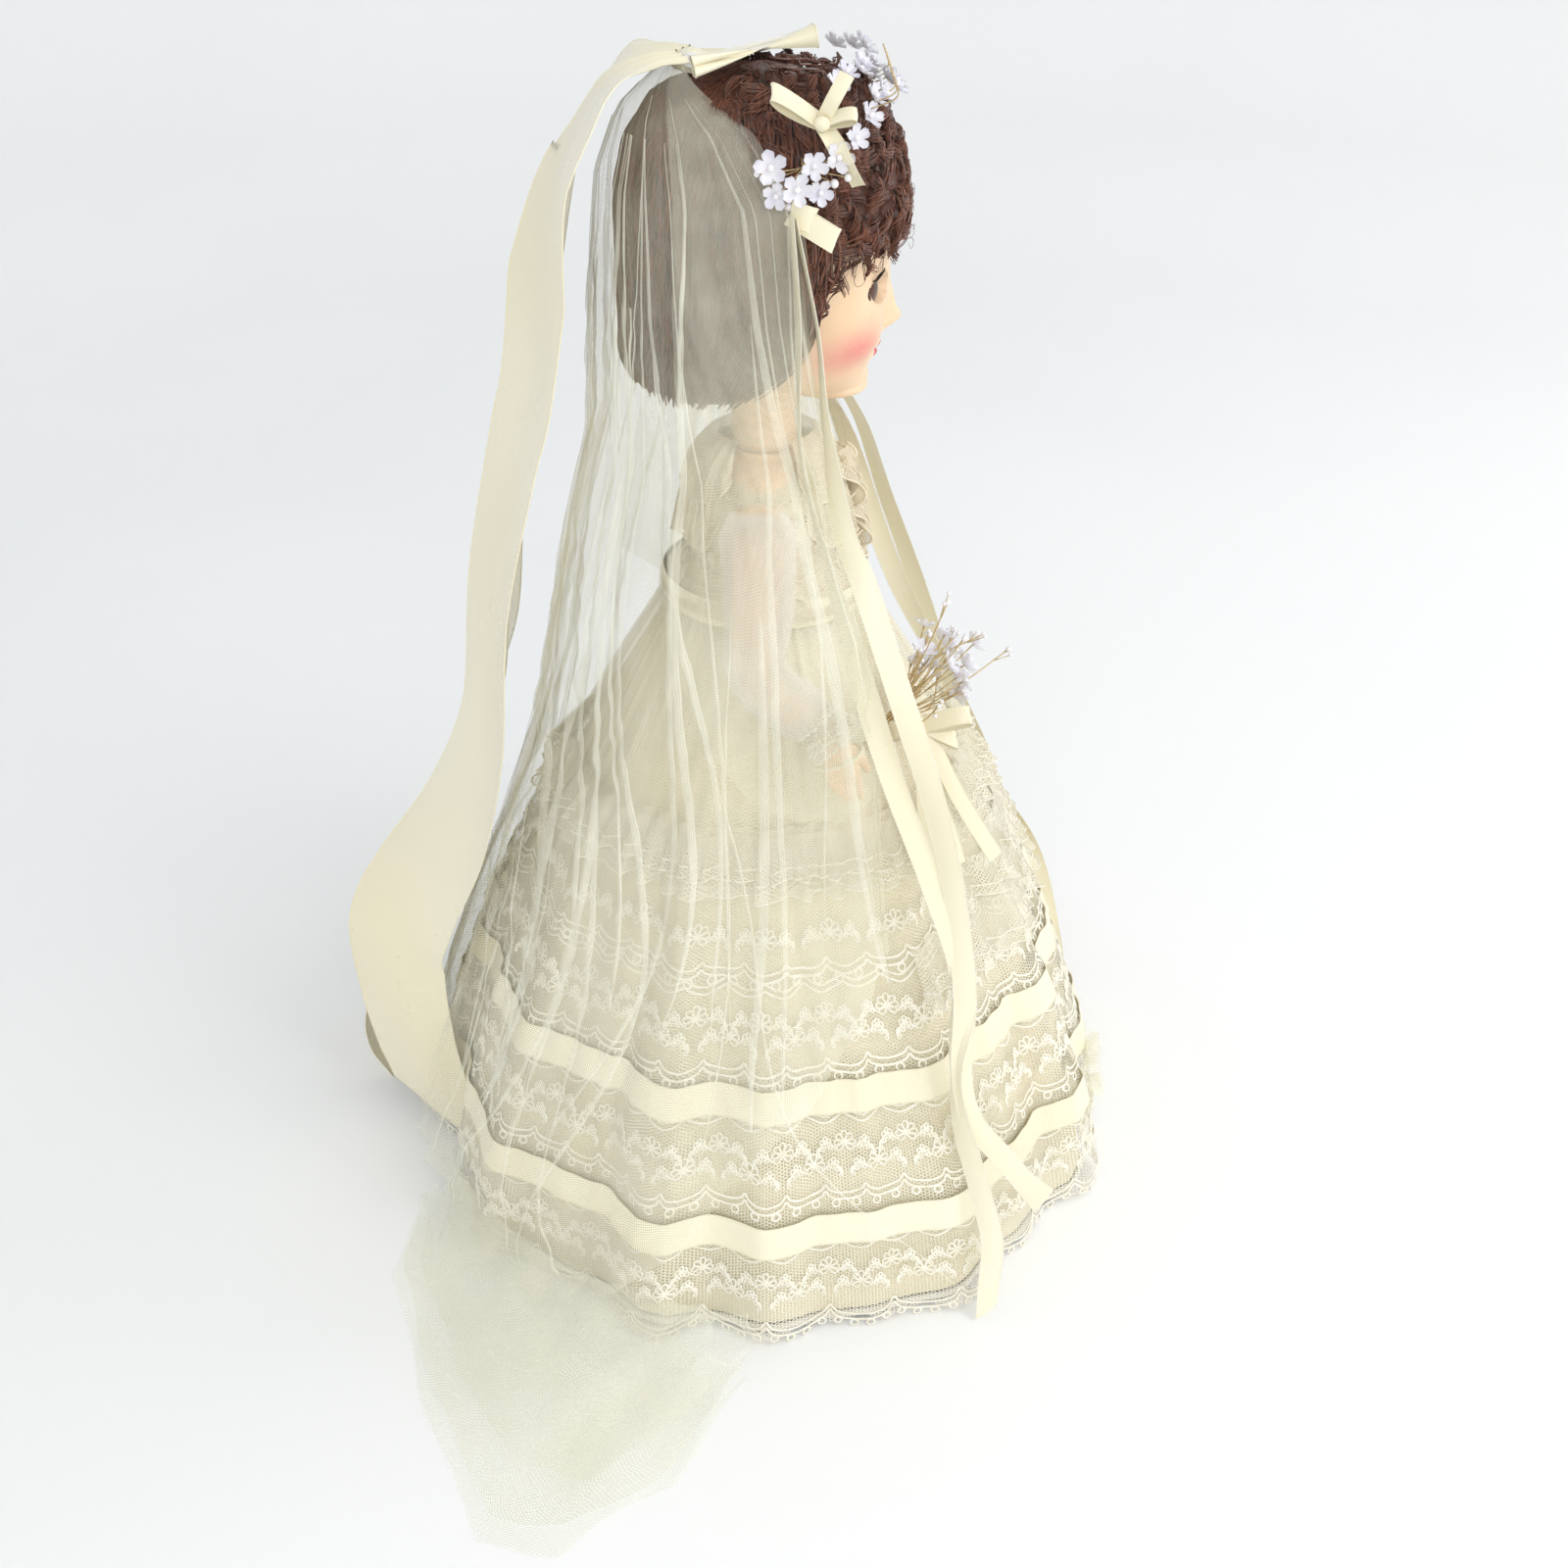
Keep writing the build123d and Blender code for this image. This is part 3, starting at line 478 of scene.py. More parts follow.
def strip_on_skirt(pile, angle, z, width, off):
    """Flat embroidered cord on the lace: a run of (angle, height) points given a width."""
    angle, z = np.asarray(angle, float), np.asarray(z, float)
    radius = bell(z)
    du, dv = np.gradient(angle * radius.mean()), np.gradient(z)
    size = np.hypot(du, dv) + 1e-9
    half = np.broadcast_to(width, angle.shape) / 2
    nu, nv = -dv / size * half, du / size * half
    edges = []
    for sign, lift in ((-1, 0.0), (0, 0.35), (1, 0.0)):
        edges.append(skirt_point(angle + sign * nu / radius, z + sign * nv, off + lift))
    grid = np.stack(edges, axis=1)
    pile.grid(grid, uv=np.zeros(grid.shape[:2] + (2,)) + np.arange(len(angle))[:, None, None])


# each motif is drawn round its own centre, in millimetres: across, up
def petal(angle, length, width, count=9):
    t = np.linspace(0, 1, count)
    out = length * np.sin(t * pi)
    side = width * np.sin(2 * t * pi) * 0.5
    return out * cos(angle) - side * sin(angle), out * sin(angle) + side * cos(angle)


def flower_motif():
    """Seven slender petals, a round eye, and a spray of leaves on each side."""
    runs = []
    for k in range(7):
        runs.append(petal(pi / 2 + (k - 3) * pi / 4.2, 5.0 - 0.25 * abs(k - 3), 2.4))
    t = np.linspace(0, 2 * pi, 9)
    runs.append((0.9 * np.cos(t), 0.9 * np.sin(t)))
    for sign in (-1, 1):
        t = np.linspace(0, 1, 10)
        runs.append((sign * (4 + 8 * t), -2.2 + 3.6 * np.sin(t * pi) - 1.5 * t))
        for start in (0.25, 0.5, 0.75, 1.0):
            x0, y0 = sign * (4 + 8 * start), -2.2 + 3.6 * sin(start * pi) - 1.5 * start
            px, py = petal(pi / 2 + sign * (start - 0.6) * 1.5, 2.6, 1.5, 7)
            runs.append((x0 + px, y0 + py))
            px, py = petal(-pi / 2 - sign * (start - 0.4), 2.2, 1.4, 7)
            runs.append((x0 + px, y0 + py))
    return runs


def embroider(pile, height, count, off, runs, scale=1.0, width=0.95, start=0.0, arc=2 * pi):
    """Repeats a motif round the skirt at a height."""
    for k in range(count):
        middle = start + arc * k / count
        for across, up in runs:
            z = height + np.asarray(up) * scale
            strip_on_skirt(pile, middle + np.asarray(across) * scale / bell(height), z, width, off)


def scallop_runs(pitch, depth, rows):
    """Nested arches of one scallop, hanging down."""
    runs = []
    t = np.linspace(-1, 1, 13)
    for row in range(rows):
        runs.append((t * pitch / 2, -depth * np.sqrt(np.clip(1 - t**2, 0, 1)) + 2.6 * row))
    return runs


def ring(pile, angle, height, size):
    """Little stitched ring."""
    t = np.linspace(0, 2 * pi, 9)
    strip_on_skirt(pile, angle + size * np.cos(t) / bell(height), height + size * np.sin(t), 0.85, 0.35)


def chevrons(pile, height, count, depth):
    """Zigzag of two threads right round the skirt."""
    angle = np.linspace(0, 2 * pi, count * 8 + 1)
    wave = np.abs(((angle * count / (2 * pi)) % 1) * 2 - 1)
    for lift in (0, 2.4):
        strip_on_skirt(pile, angle, height + lift + depth * wave**1.5, 0.8, 0.35)


FLOUNCE_TOP = 183
SCALLOPS = 36


def hem_scallop(angle):
    return 4.0 - 4.5 * np.abs(np.cos(SCALLOPS / 2 * angle)) ** 0.7


def build_gown_skirt():
    grid, uv = skirt_sheet("underskirt", 5, 254, -5.2, 60, 540, follow=0.6)
    under = sheet_object("underskirt_taffeta", grid, uv=uv)
    put(under, taffeta, "torso", "taffeta", "underskirt")

    hem = Pile()
    angle = np.linspace(0, 2 * pi, 361)
    path = skirt_point(angle, 3.0, -4.6, 0.6)
    tube(hem, path, 1.3, 8)
    roll = hem.object("hem_roll")
    put(roll, cotton, "torso", "taffeta", "hem_binding")

    grid, uv = skirt_sheet("petticoat", 8, 236, -10.0, 40, 360, follow=0.35)
    petticoat = sheet_object("petticoat_net", grid, uv=uv)
    put(petticoat, over_net, "torso", "tulle", "petticoat")

    grid, uv = skirt_sheet("overskirt", 178, 255, 0.0, 36, 720)
    over = sheet_object("overskirt_net_cloth", grid, uv=uv)
    put(over, over_net, "torso", "lace", "overskirt_net")

    grid, uv = skirt_sheet("flounce", 3, FLOUNCE_TOP, 0.0, 90, 900, hem=hem_scallop)
    flounce = sheet_object("flounce_lace_cloth", grid, uv=uv)
    put(flounce, lace_net, "torso", "lace", "flounce_lace")

    threads = Pile()
    flower = flower_motif()
    for height, count, start in (
        (22, SCALLOPS, pi / SCALLOPS), (29, SCALLOPS, 0), (71, 33, 0.05), (79, 33, 0.145), (119, 28, 0.1),
        (126, 28, 0.21), (154, 24, 0.0),
    ):
        embroider(threads, height, count, 0.35, flower, 0.9, 0.72, start)
    for height, count, depth in ((9.5, SCALLOPS, 6.0), (61, 54, 4.0), (108.5, 46, 3.6), (143, 40, 3.0)):
        pitch = 2 * pi * bell(height) / count
        start = pi / SCALLOPS if count == SCALLOPS else 0.0
        embroider(threads, height, count, 0.35, scallop_runs(pitch, depth, 2), width=0.9, start=start)
        for k in range(count * (4 if count == SCALLOPS else 2)):
            share = (k + 0.5) / (count * (4 if count == SCALLOPS else 2))
            angle = start + 2 * pi * share
            dip = depth * np.sqrt(1 - (2 * ((share * count + 0.5) % 1) - 1) ** 2 * 0.98)
            ring(threads, angle, height - dip - 1.7, 1.5)
    for height, count, depth in ((36.5, 60, 3.6), (87, 52, 3.6), (134, 44, 3.4), (168, 40, 2.6)):
        chevrons(threads, height, count, depth)
    embroidery = threads.object("flounce_embroidery")
    put(embroidery, lace_thread, "torso", "lace")

    bands = Pile()
    for low in (91, 40):
        grid, uv = skirt_sheet("band", low, low + 12, 1.5, 7, 720)
        bands.grid(grid, uv=uv)
        for edge in (low, low + 12):
            angle = np.linspace(0, 2 * pi, 541)
            tube(bands, skirt_point(angle, edge, 1.5), 0.28, 4)
    band_cloth = bands.object("ribbon_bands_satin")
    put(band_cloth, satin, "torso", "satin", "ribbon_bands")

    ruffles = Pile()
    ruffle_edges = Pile()
    counts = (38, 47, 55, 64)
    rows = (
        (170, 191, 2.4, 7.0, 1500, 0.0, 2 * pi, 31),
        (176, 189, 3.6, 5.0, 1500, 0.0, 2 * pi, 33),
        (124, 144, 2.2, 6.0, 900, radians(212), radians(116), 35),
        (146, 160, 2.4, 5.5, 620, radians(224), radians(92), 37),
    )
    for low, high, off, flare, columns, start, arc, seed in rows:
        grid, uv = ruffle_sheet(low, high, off, flare, counts, seed, columns, start, arc)
        ruffles.grid(grid, uv=uv)
        for row in (-1, -3):
            tube(ruffle_edges, grid[row], 0.42, 4)
    ruffle_cloth, rims = put_with_edges(
        ruffles, ruffle_edges, "skirt_ruffle_lace", "skirt_ruffle_edges", lace_net, lace_thread,
        "torso", "lace", "skirt_ruffles",
    )


# ---------------------------------------------------------------- the veil
# height, half width, half depth, centre offset, half angle from the back
VEIL_ON_HEAD = (
    (440, 8, 4, 26, 95), (436, 17, 11, 24, 98), (425, 44, 33, 14, 110), (405, 56, 50, 5, 111),
    (370, 61, 56, 3, 111), (340, 63, 59, 2, 114), (318, 65, 62, 0, 116),
)
VEIL_ON_BODY = (
    (300, 74, 67, 0, 116), (285, 81, 71, 0, 117), (270, 87, 75, 0, 118), (250, 92, 79, 0, 118),
    (230, 94, 83, 0, 118), (200, 95, 89, 0, 118), (150, 112, 106, 0, 120), (100, 130, 127, 0, 122),
    (50, 147, 144, 0, 124), (3, 157, 153, 0, 125),
)
VEIL = np.array(VEIL_ON_HEAD + VEIL_ON_BODY, float)[::-1]


def veil_point(share, z, off=0.0, seed=40, fold=1.0):
    """Point on the veil: share -1 to 1 from its right edge to its left edge, a height, an offset."""
    share, z = np.broadcast_arrays(np.asarray(share, float), np.asarray(z, float))
    a, b, centre, half = (np.interp(z, VEIL[:, 0], VEIL[:, k]) for k in (1, 2, 3, 4))
    drop = np.clip((440 - z) / 440, 0, 1)
    depth = fold * (0.5 + 8.0 * drop**1.1)
    pleats = waves(share * pi, (9, 13, 17, 22), seed, 1.25) * depth
    small = waves(share * pi + 0.4 * np.sin(z / 37.0), (31, 40), seed + 1) * fold * (0.4 + 1.6 * drop)
    sway = 0.055 * np.sin(z / 41.0 + 5 * share) * drop
    angle = pi / 2 + np.radians(half) * np.clip(-share + sway, -1.02, 1.02)
    grow = off + 0.6 + (pleats + small) * 0.5 + 0.32 * depth
    return np.stack([(a + grow) * np.cos(angle), centre + (b + grow) * np.sin(angle), z], axis=-1)


# share of the veil from its right front edge, and the height where the long layer ends there
LONG_EDGE = (
    (-1.0, 152), (-0.86, 112), (-0.70, 62), (-0.56, 16), (-0.48, 3), (0.5, 3), (0.66, 30), (0.84, 90), (1.0, 140),
)


def build_veil():
    outer = Pile()
    share = np.linspace(-1, 1, 620)
    low = np.interp(share, *np.array(LONG_EDGE).T) + 3.0 * np.sin(31 * share) * (np.abs(share) > 0.5)
    steps = np.concatenate([np.linspace(0, 0.09, 14), np.linspace(0.1, 1, 92)])[:, None]
    grid = veil_point(share[None, :], 441 + (low[None, :] - 441) * steps)
    outer.grid(grid)
    veil = outer.object("veil_outer_net")
    put(veil, veil_net, None, "tulle", "veil_upper", "veil_lower")

    inner = Pile()
    share = np.linspace(-0.985, -0.56, 260)
    end = 214 + 10 * np.sin(9 * share) + 40 * np.clip((share + 0.72) / 0.16, 0, 1) ** 1.5
    steps = np.linspace(0, 1, 90)[:, None] ** 0.9
    inner.grid(veil_point(share[None, :], 440 + (end[None, :] - 440) * steps, -2.2, 60, 0.8))
    share = np.linspace(0.35, 0.97, 240)
    end = 230 + 20 * np.sin(7 * share)
    inner.grid(veil_point(share[None, :], 440 + (end[None, :] - 440) * steps, -2.2, 62, 0.8))
    second = inner.object("veil_inner_net")
    put(second, veil_net, None, "tulle")

    # Narrow strips along the folds in the whiter folded tulle: doubled net, with a painted highlight in its colour.
    folds = Pile()
    for _ in range(60):
        middle = rng.uniform(-0.97, 0.97)
        low = max(np.interp(middle, *np.array(LONG_EDGE).T), rng.choice([4, 10, 60, 130]))
        high = 432 - rng.choice([0, 10, 60, 150])
        z = np.linspace(high, low + 2, 80)
        width = rng.uniform(0.003, 0.014) * np.sin(np.linspace(0.12, pi - 0.12, 80)) ** 0.7
        fall = (430 - z) / 430
        drift = rng.normal(0, 0.17) * fall + 0.05 * np.sin(z / rng.uniform(30, 80) + rng.uniform(0, 6)) * fall
        rows = []
        for edge in (-1, -0.3, 0.3, 1):
            place = np.clip(middle + drift + edge * width * (1.2 - 0.6 * fall), -0.99, 0.99)
            rows.append(veil_point(place, z, 0.9 - 0.6 * abs(edge), 40))
        folds.grid(np.stack(rows, axis=1))
    pleats = folds.object("veil_folded_pleats")
    put(pleats, fold_highlight_net, None, "tulle")
    for piece in (veil, second, pleats):
        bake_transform(piece)


# ---------------------------------------------------------------- satin streamers and narrow ribbons
def ribbon_grid(path, across, width, columns=7, cup=0.0):
    """Strip along a path; across is one direction for each point, cup bends it over its width."""
    path, across = np.asarray(path, float), np.asarray(across, float)
    tangent, _, _ = path_frames(path)
    across = across - tangent * (across * tangent).sum(axis=1)[:, None]
    across /= np.linalg.norm(across, axis=1)[:, None]
    face = np.cross(tangent, across)
    share = np.linspace(-0.5, 0.5, columns)[None, :, None]
    width = np.broadcast_to(width, len(path))[:, None, None]
    return path[:, None] + across[:, None] * share * width + face[:, None] * cup * (1 - 4 * share**2)


def satin_strip(pile, edges, path, across, width, columns=7, cup=0.0, rim=0.22):
    grid = ribbon_grid(path, across, width, columns, cup)
    pile.grid(grid)
    for side in (0, -1):
        tube(edges, grid[:, side], rim, 4)
    return grid


STREAMER_HEAD = [(26, 441), (36, 440.5), (49, 434.5), (65, 410), (73, 383), (81, 340), (87.3, 317)]
STREAMER_LEFT = [(99, 267), (109, 208), (129, 160), (158, 102), (178, 45), (181, 20), (174, 1.2)]
STREAMER_RIGHT = [(98, 267), (107, 208), (124, 165), (147, 126), (157, 100), (155, 62), (150, 30), (147, 1.5)]


def build_streamers():
    for name, lower, low_x, high_x, seed in (
        ("left", STREAMER_LEFT, 2, 56, 3.1), ("right", STREAMER_RIGHT, -56, -2, 1.2),
    ):
        pile, edges = Pile(), Pile()
        centre = (low_x + high_x) / 2
        path = smooth_path([(centre, y, z) for y, z in STREAMER_HEAD + lower], 150)
        t = np.linspace(0, 1, 150)
        gather = 1 - 0.72 * np.exp(-((t / 0.05) ** 2))
        path[:, 0] = centre * (0.25 + 0.75 * np.clip(t / 0.10, 0, 1)) + 2.5 * np.sin(9 * t + seed)
        path[:, 1] += 1.6 * np.sin(14 * t + seed) * np.clip(t * 3, 0, 1)
        across = np.stack([np.ones(150), 0.10 * np.sin(7 * t + seed), 0.05 * np.sin(11 * t)], axis=1)
        if name == "right":
            lean = 0.45 * np.clip((t - 0.07) / 0.12, 0, 1) + 0.5 * np.clip((t - 0.55) / 0.25, 0, 1) ** 1.5
            across[:, 0], across[:, 1] = np.cos(lean), across[:, 1] + np.sin(lean)
        grid = ribbon_grid(path, across, 54 * gather, 25, 0)
        share = np.linspace(-1, 1, 25)[None, :]
        grid[:, :, 1] += 2.2 * np.cos(share * 2.2 + 6 * t[:, None] + seed) * np.clip(4 * t, 0, 1)[:, None]
        grid[:, :, 2] += 1.4 * (1 - gather)[:, None] * np.cos(share * 9)
        tip = np.clip((t - 0.93) / 0.07, 0, 1)[:, None]
        grid[:, :, 2] += tip * (1 + share) * (9 if name == "right" else 5)
        grid[:, :, 2] = np.maximum(grid[:, :, 2], 0.6)
        pile.grid(grid)
        for side in (0, -1):
            tube(edges, grid[:, side], 0.3, 5)
        tube(edges, grid[-1], 0.25, 4)
        strip = pile.object(f"streamer_{name}_satin")
        rims = edges.object(f"streamer_{name}_selvedge")
        put(strip, satin, None, "satin", f"streamer_lower_{name}", *(["streamers_upper"] if name == "left" else []))
        put(rims, satin, None, "satin")
        for piece in (strip, rims):
            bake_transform(piece)


RIGHT_ROUTES = [
    [
        (-55.5, -9, 404), (-56.5, -11.5, 370), (-60, -12, 345), (-63, -13.5, 326), (-70, -21, 294), (-80, -31, 260),
        (-88, -43, 226), (-95, -60, 182), (-104, -72, 142), (-112, -70, 112), (-118, -73, 88), (-125, -82, 60),
        (-133, -88, 38), (-136, -87, 14), (-139, -86, 1.5),
    ],
    [
        (-55, -10, 403), (-57, -17.5, 370), (-61, -19.5, 348), (-63.5, -21, 334), (-68, -26, 305), (-76, -34, 288),
        (-84, -42, 268), (-89, -49, 248), (-93, -58, 217), (-98, -68, 172), (-107, -74, 136), (-113, -74, 108),
        (-117, -78, 86), (-117, -92, 64), (-117, -108, 40),
    ],
]
LEFT_ROUTES = [
    [
        (55.5, -9, 404), (56.5, -11.5, 370), (60, -13, 345), (64, -17, 320), (74, -30, 290), (86, -44, 250),
        (92, -60, 205), (92, -82, 160), (80, -108, 112), (66, -126, 78), (62, -136, 36), (66, -142, 1.5),
    ],
    [
        (55, -10, 403), (57, -17.5, 370), (61, -19.5, 348), (66, -24, 320), (78, -40, 288), (88, -52, 248),
        (94, -68, 200), (96, -84, 155), (86, -106, 106), (74, -122, 66), (72, -132, 28), (78, -136, 1.5),
    ],
]


def build_side_ribbons():
    pile, edges = Pile(), Pile()
    for sign, routes in ((-1, RIGHT_ROUTES), (1, LEFT_ROUTES)):
        for r, route in enumerate(routes):
            path = smooth_path(route, 150)
            t = np.linspace(0, 1, 150)
            path[:, 1] += 1.0 * np.sin(17 * t + 2 * r + sign) * np.clip(3 * t, 0, 1)
            edge_on = 1.45 * np.exp(-((t / 0.31) ** 4))
            twist = edge_on + 0.45 * np.sin(11 * t + r * 2.4 + sign) * np.clip(3 * t, 0, 1)
            twist = twist + 0.9 * np.exp(-(((t - 0.74) / 0.05) ** 2)) * (1 - r)
            outward = np.stack([sign * np.ones(150), -0.08 * np.ones(150), 0.1 * np.ones(150)], axis=1)
            across = np.cross(outward, np.gradient(path, axis=0))
            across /= np.linalg.norm(across, axis=1)[:, None]
            outward /= np.linalg.norm(outward, axis=1)[:, None]
            turned = across * np.cos(twist)[:, None] + outward * np.sin(twist)[:, None]
            grid = ribbon_grid(path, turned, 8.4, 7, 0.5)
            tail = np.clip((t - 0.96) / 0.04, 0, 1)[:, None]
            grid[:, :, 2] += tail * np.linspace(0, 6, 7)[None, :]
            grid[:, :, 2] = np.maximum(grid[:, :, 2], 0.5)
            pile.grid(grid)
            for side in (0, -1):
                edge = grid[:, side]
                tube(edges, edge, 0.16, 4)
                picots(edges, edge, grid[:, side] - grid[:, 3], size=0.4)
    strips = pile.object("side_ribbons_satin")
    rims = edges.object("side_ribbons_picot")
    put(strips, satin, None, "satin", "side_ribbons_upper", "side_ribbons_lower")
    put(rims, lace_thread, None, "satin")
    for piece in (strips, rims):
        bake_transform(piece)


def picots(pile, edge, outward, pitch=1.6, size=0.55):
    """Row of tiny thread loops along a ribbon's edge, as flat tabs."""
    length = np.concatenate([[0], np.cumsum(np.linalg.norm(np.diff(edge, axis=0), axis=1))])
    count = int(length[-1] / pitch)
    where = (np.arange(count) + 0.5) * pitch
    half = pitch * 0.3
    outward = outward / (np.linalg.norm(outward, axis=1)[:, None] + 1e-9)
    low = np.stack([np.interp(where - half, length, edge[:, k]) for k in range(3)], axis=1)
    high = np.stack([np.interp(where + half, length, edge[:, k]) for k in range(3)], axis=1)
    out = np.stack([np.interp(where, length, outward[:, k]) for k in range(3)], axis=1)
    vertices = np.stack([low, high, (low + high) / 2 + out * size], axis=1).reshape(-1, 3)
    pile.add(vertices, [(3 * i, 3 * i + 1, 3 * i + 2) for i in range(count)])


# ---------------------------------------------------------------- bows
def loop_path(root, tip, lift, count=22):
    """Closed-looking ribbon loop from a knot out to a tip and back, bulging along lift."""
    root, tip, lift = (np.asarray(v, float) for v in (root, tip, lift))
    t = np.linspace(0, 1, count)[:, None]
    reach = np.sin(t * pi) ** 0.8
    return root + (tip - root) * reach + lift * np.cos(t * pi) * np.sin(t * pi) ** 0.7


def build_bows():
    bow, rims = Pile(), Pile()
    for sign in (-1, 1):
        path = loop_path((sign * 3, 13, 440.5), (sign * 30, 2, 442.4), (0, 0.3, 1.7), 40)
        path[:, 2] -= 0.13 * path[:, 0]
        t = np.linspace(0, 1, 40)
        width = 11 + 29 * np.sin(t * pi) ** 0.6
        across = np.tile([0.05 * sign, 1.0, -0.22], (40, 1))
        satin_strip(bow, rims, path, across, width, 15, 0.7, 0.25)
    body, selvedge = put_with_edges(
        bow, rims, "back_bow_satin", "back_bow_selvedge", satin, satin, "head", "satin", "back_bow"
    )

    knot = Pile()
    turn = np.linspace(0, 2 * pi, 33)
    rows = []
    for x in np.linspace(-5, 5, 9):
        pinch = 1 - 0.12 * cos(x * 1.2)
        rows.append(np.stack([
            x + 0 * turn, 23 + 6.0 * pinch * np.cos(turn), 439 + 3.2 * pinch * np.sin(turn) + 0.3 * np.sin(5 * turn),
        ], axis=1))
    knot.grid(np.stack(rows))
    wrap = knot.object("back_bow_knot_satin")
    put(wrap, satin, "head", "satin", "back_bow_knot")

    pile, rims = Pile(), Pile()
    centre = (-45.0, -18.5, 428.5)
    for tip, lift, width in (((-46.5, -3, 437), (-2, 1.0, 3.2), 6.4), ((-47, -29, 431), (-2, 1.0, 2.0), 4.6)):
        path = loop_path(centre, tip, lift, 30)
        satin_strip(pile, rims, path, np.tile([0.75, 0.0, 0.65], (30, 1)), width, 5, 0.3, 0.12)
    for tip in ((-48.5, -30, 410.5), (-44, -26, 442)):
        middle = (np.array(centre) + np.array(tip)) / 2 + [-3, 0, 1]
        path = smooth_path([centre, middle, tip], 16)
        width = 4.6 if tip[2] > 430 else 5.6
        satin_strip(pile, rims, path, np.tile([0.3, 0.8, 0.5], (16, 1)), width, 5, 0.3, 0.12)
    ball_turn = np.linspace(0, 2 * pi, 17)
    rows = [
        (-47.5 + 1.5 * cos(u), -18.5 + 2.6 * cos(v) * sin(u), 428.5 + 2.4 * sin(v) * sin(u))
        for u in np.linspace(0, pi, 9) for v in ball_turn
    ]
    pile.grid(np.array(rows).reshape(9, 17, 3))
    tied, selvedge = put_with_edges(
        pile, rims, "hair_bow_satin", "hair_bow_selvedge", satin, satin, "head", "satin", "hair_bow"
    )

    pile, rims = Pile(), Pile()
    for sign in (-1, 1):
        for tip, lift in (((56, -23, 396), (2.6, 0.4, 0.6)), ((56, -16, 402), (2.4, 0.4, 0.8))):
            path = loop_path((sign * 55, -9, 404), (sign * tip[0], *tip[1:]), (sign * lift[0], *lift[1:]), 30)
            satin_strip(pile, rims, path, np.tile([0.10 * sign, -0.35, 1.0], (30, 1)), 7.6, 5, 0.2, 0.14)
    tied, selvedge = put_with_edges(
        pile, rims, "ear_bow_satin", "ear_bow_selvedge", satin, satin, "head", "satin", "ear_bow"
    )


# ---------------------------------------------------------------- blossoms
def blossom_material():
    shader = Shader("blossom_petals", (0.88, 0.87, 0.93), 0.30, Subsurface_Weight=0.25, Coat_Weight=0.2)
    shader.set("Subsurface Radius", (0.002, 0.002, 0.002))
    shader.set("Alpha", 0.86)
    shader.mottle(220.0, (0.92, 0.91, 0.95), (0.80, 0.79, 0.89))
    shader.bump(shader.noise(shader.place(), 900.0), 0.25, 0.0003)
    return shader.material


def pearl_material():
    shader = Shader("pearl_bead", (0.90, 0.88, 0.86), 0.18, Coat_Weight=0.6)
    shader.mottle(400.0, (0.92, 0.90, 0.88), (0.84, 0.80, 0.84))
    return shader.material


def stem_material():
    shader = Shader("gilt_stem", (0.62, 0.47, 0.24), 0.38, Metallic=0.7)
    shader.mottle(500.0, (0.70, 0.55, 0.30), (0.48, 0.35, 0.17))
    return shader.material


def basis(direction):
    n = np.asarray(direction, float)
    n = n / np.linalg.norm(n)
    a = np.cross(n, (0.2, 0.1, 0.97))
    a = a / np.linalg.norm(a)
    return a, np.cross(n, a), n


def blossom(petals, beads, centre, facing, radius, turn=0.0, count=5):
    """Small moulded flower: cupped round petals about a bead."""
    a, b, n = basis(facing)
    for k in range(count):
        middle = turn + 2 * pi * k / count
        u = np.linspace(0, 1, 8)[:, None]
        v = np.linspace(-1, 1, 9)[None, :]
        wide = radius * 0.44 * np.sqrt(np.clip(1 - np.abs(2 * u - 1.02) ** 3.2, 0, 1)) * (0.5 + 0.5 * u)
        out = radius * (0.06 + 0.94 * u) * (1 - 0.06 * v**2)
        lift = radius * (0.42 * u**2 + 0.22 * v**2 * u - 0.10 * u**6)
        along = out * cos(middle) - wide * v * sin(middle)
        aside = out * sin(middle) + wide * v * cos(middle)
        grid = np.asarray(centre) + along[..., None] * a + aside[..., None] * b + lift[..., None] * n
        petals.grid(grid)
    ball(beads, np.asarray(centre) + n * radius * 0.22, radius * 0.2)


def ball(pile, centre, radius, rows=7, columns=10):
    u = np.linspace(0.001, pi - 0.001, rows)[:, None]
    v = np.linspace(0, 2 * pi, columns, endpoint=False)[None, :]
    radius = np.broadcast_to(radius, 3)
    grid = np.stack(np.broadcast_arrays(
        centre[0] + radius[0] * np.sin(u) * np.cos(v), centre[1] + radius[1] * np.sin(u) * np.sin(v),
        centre[2] + radius[2] * np.cos(u),
    ), axis=2)
    pile.grid(grid, closed=True)


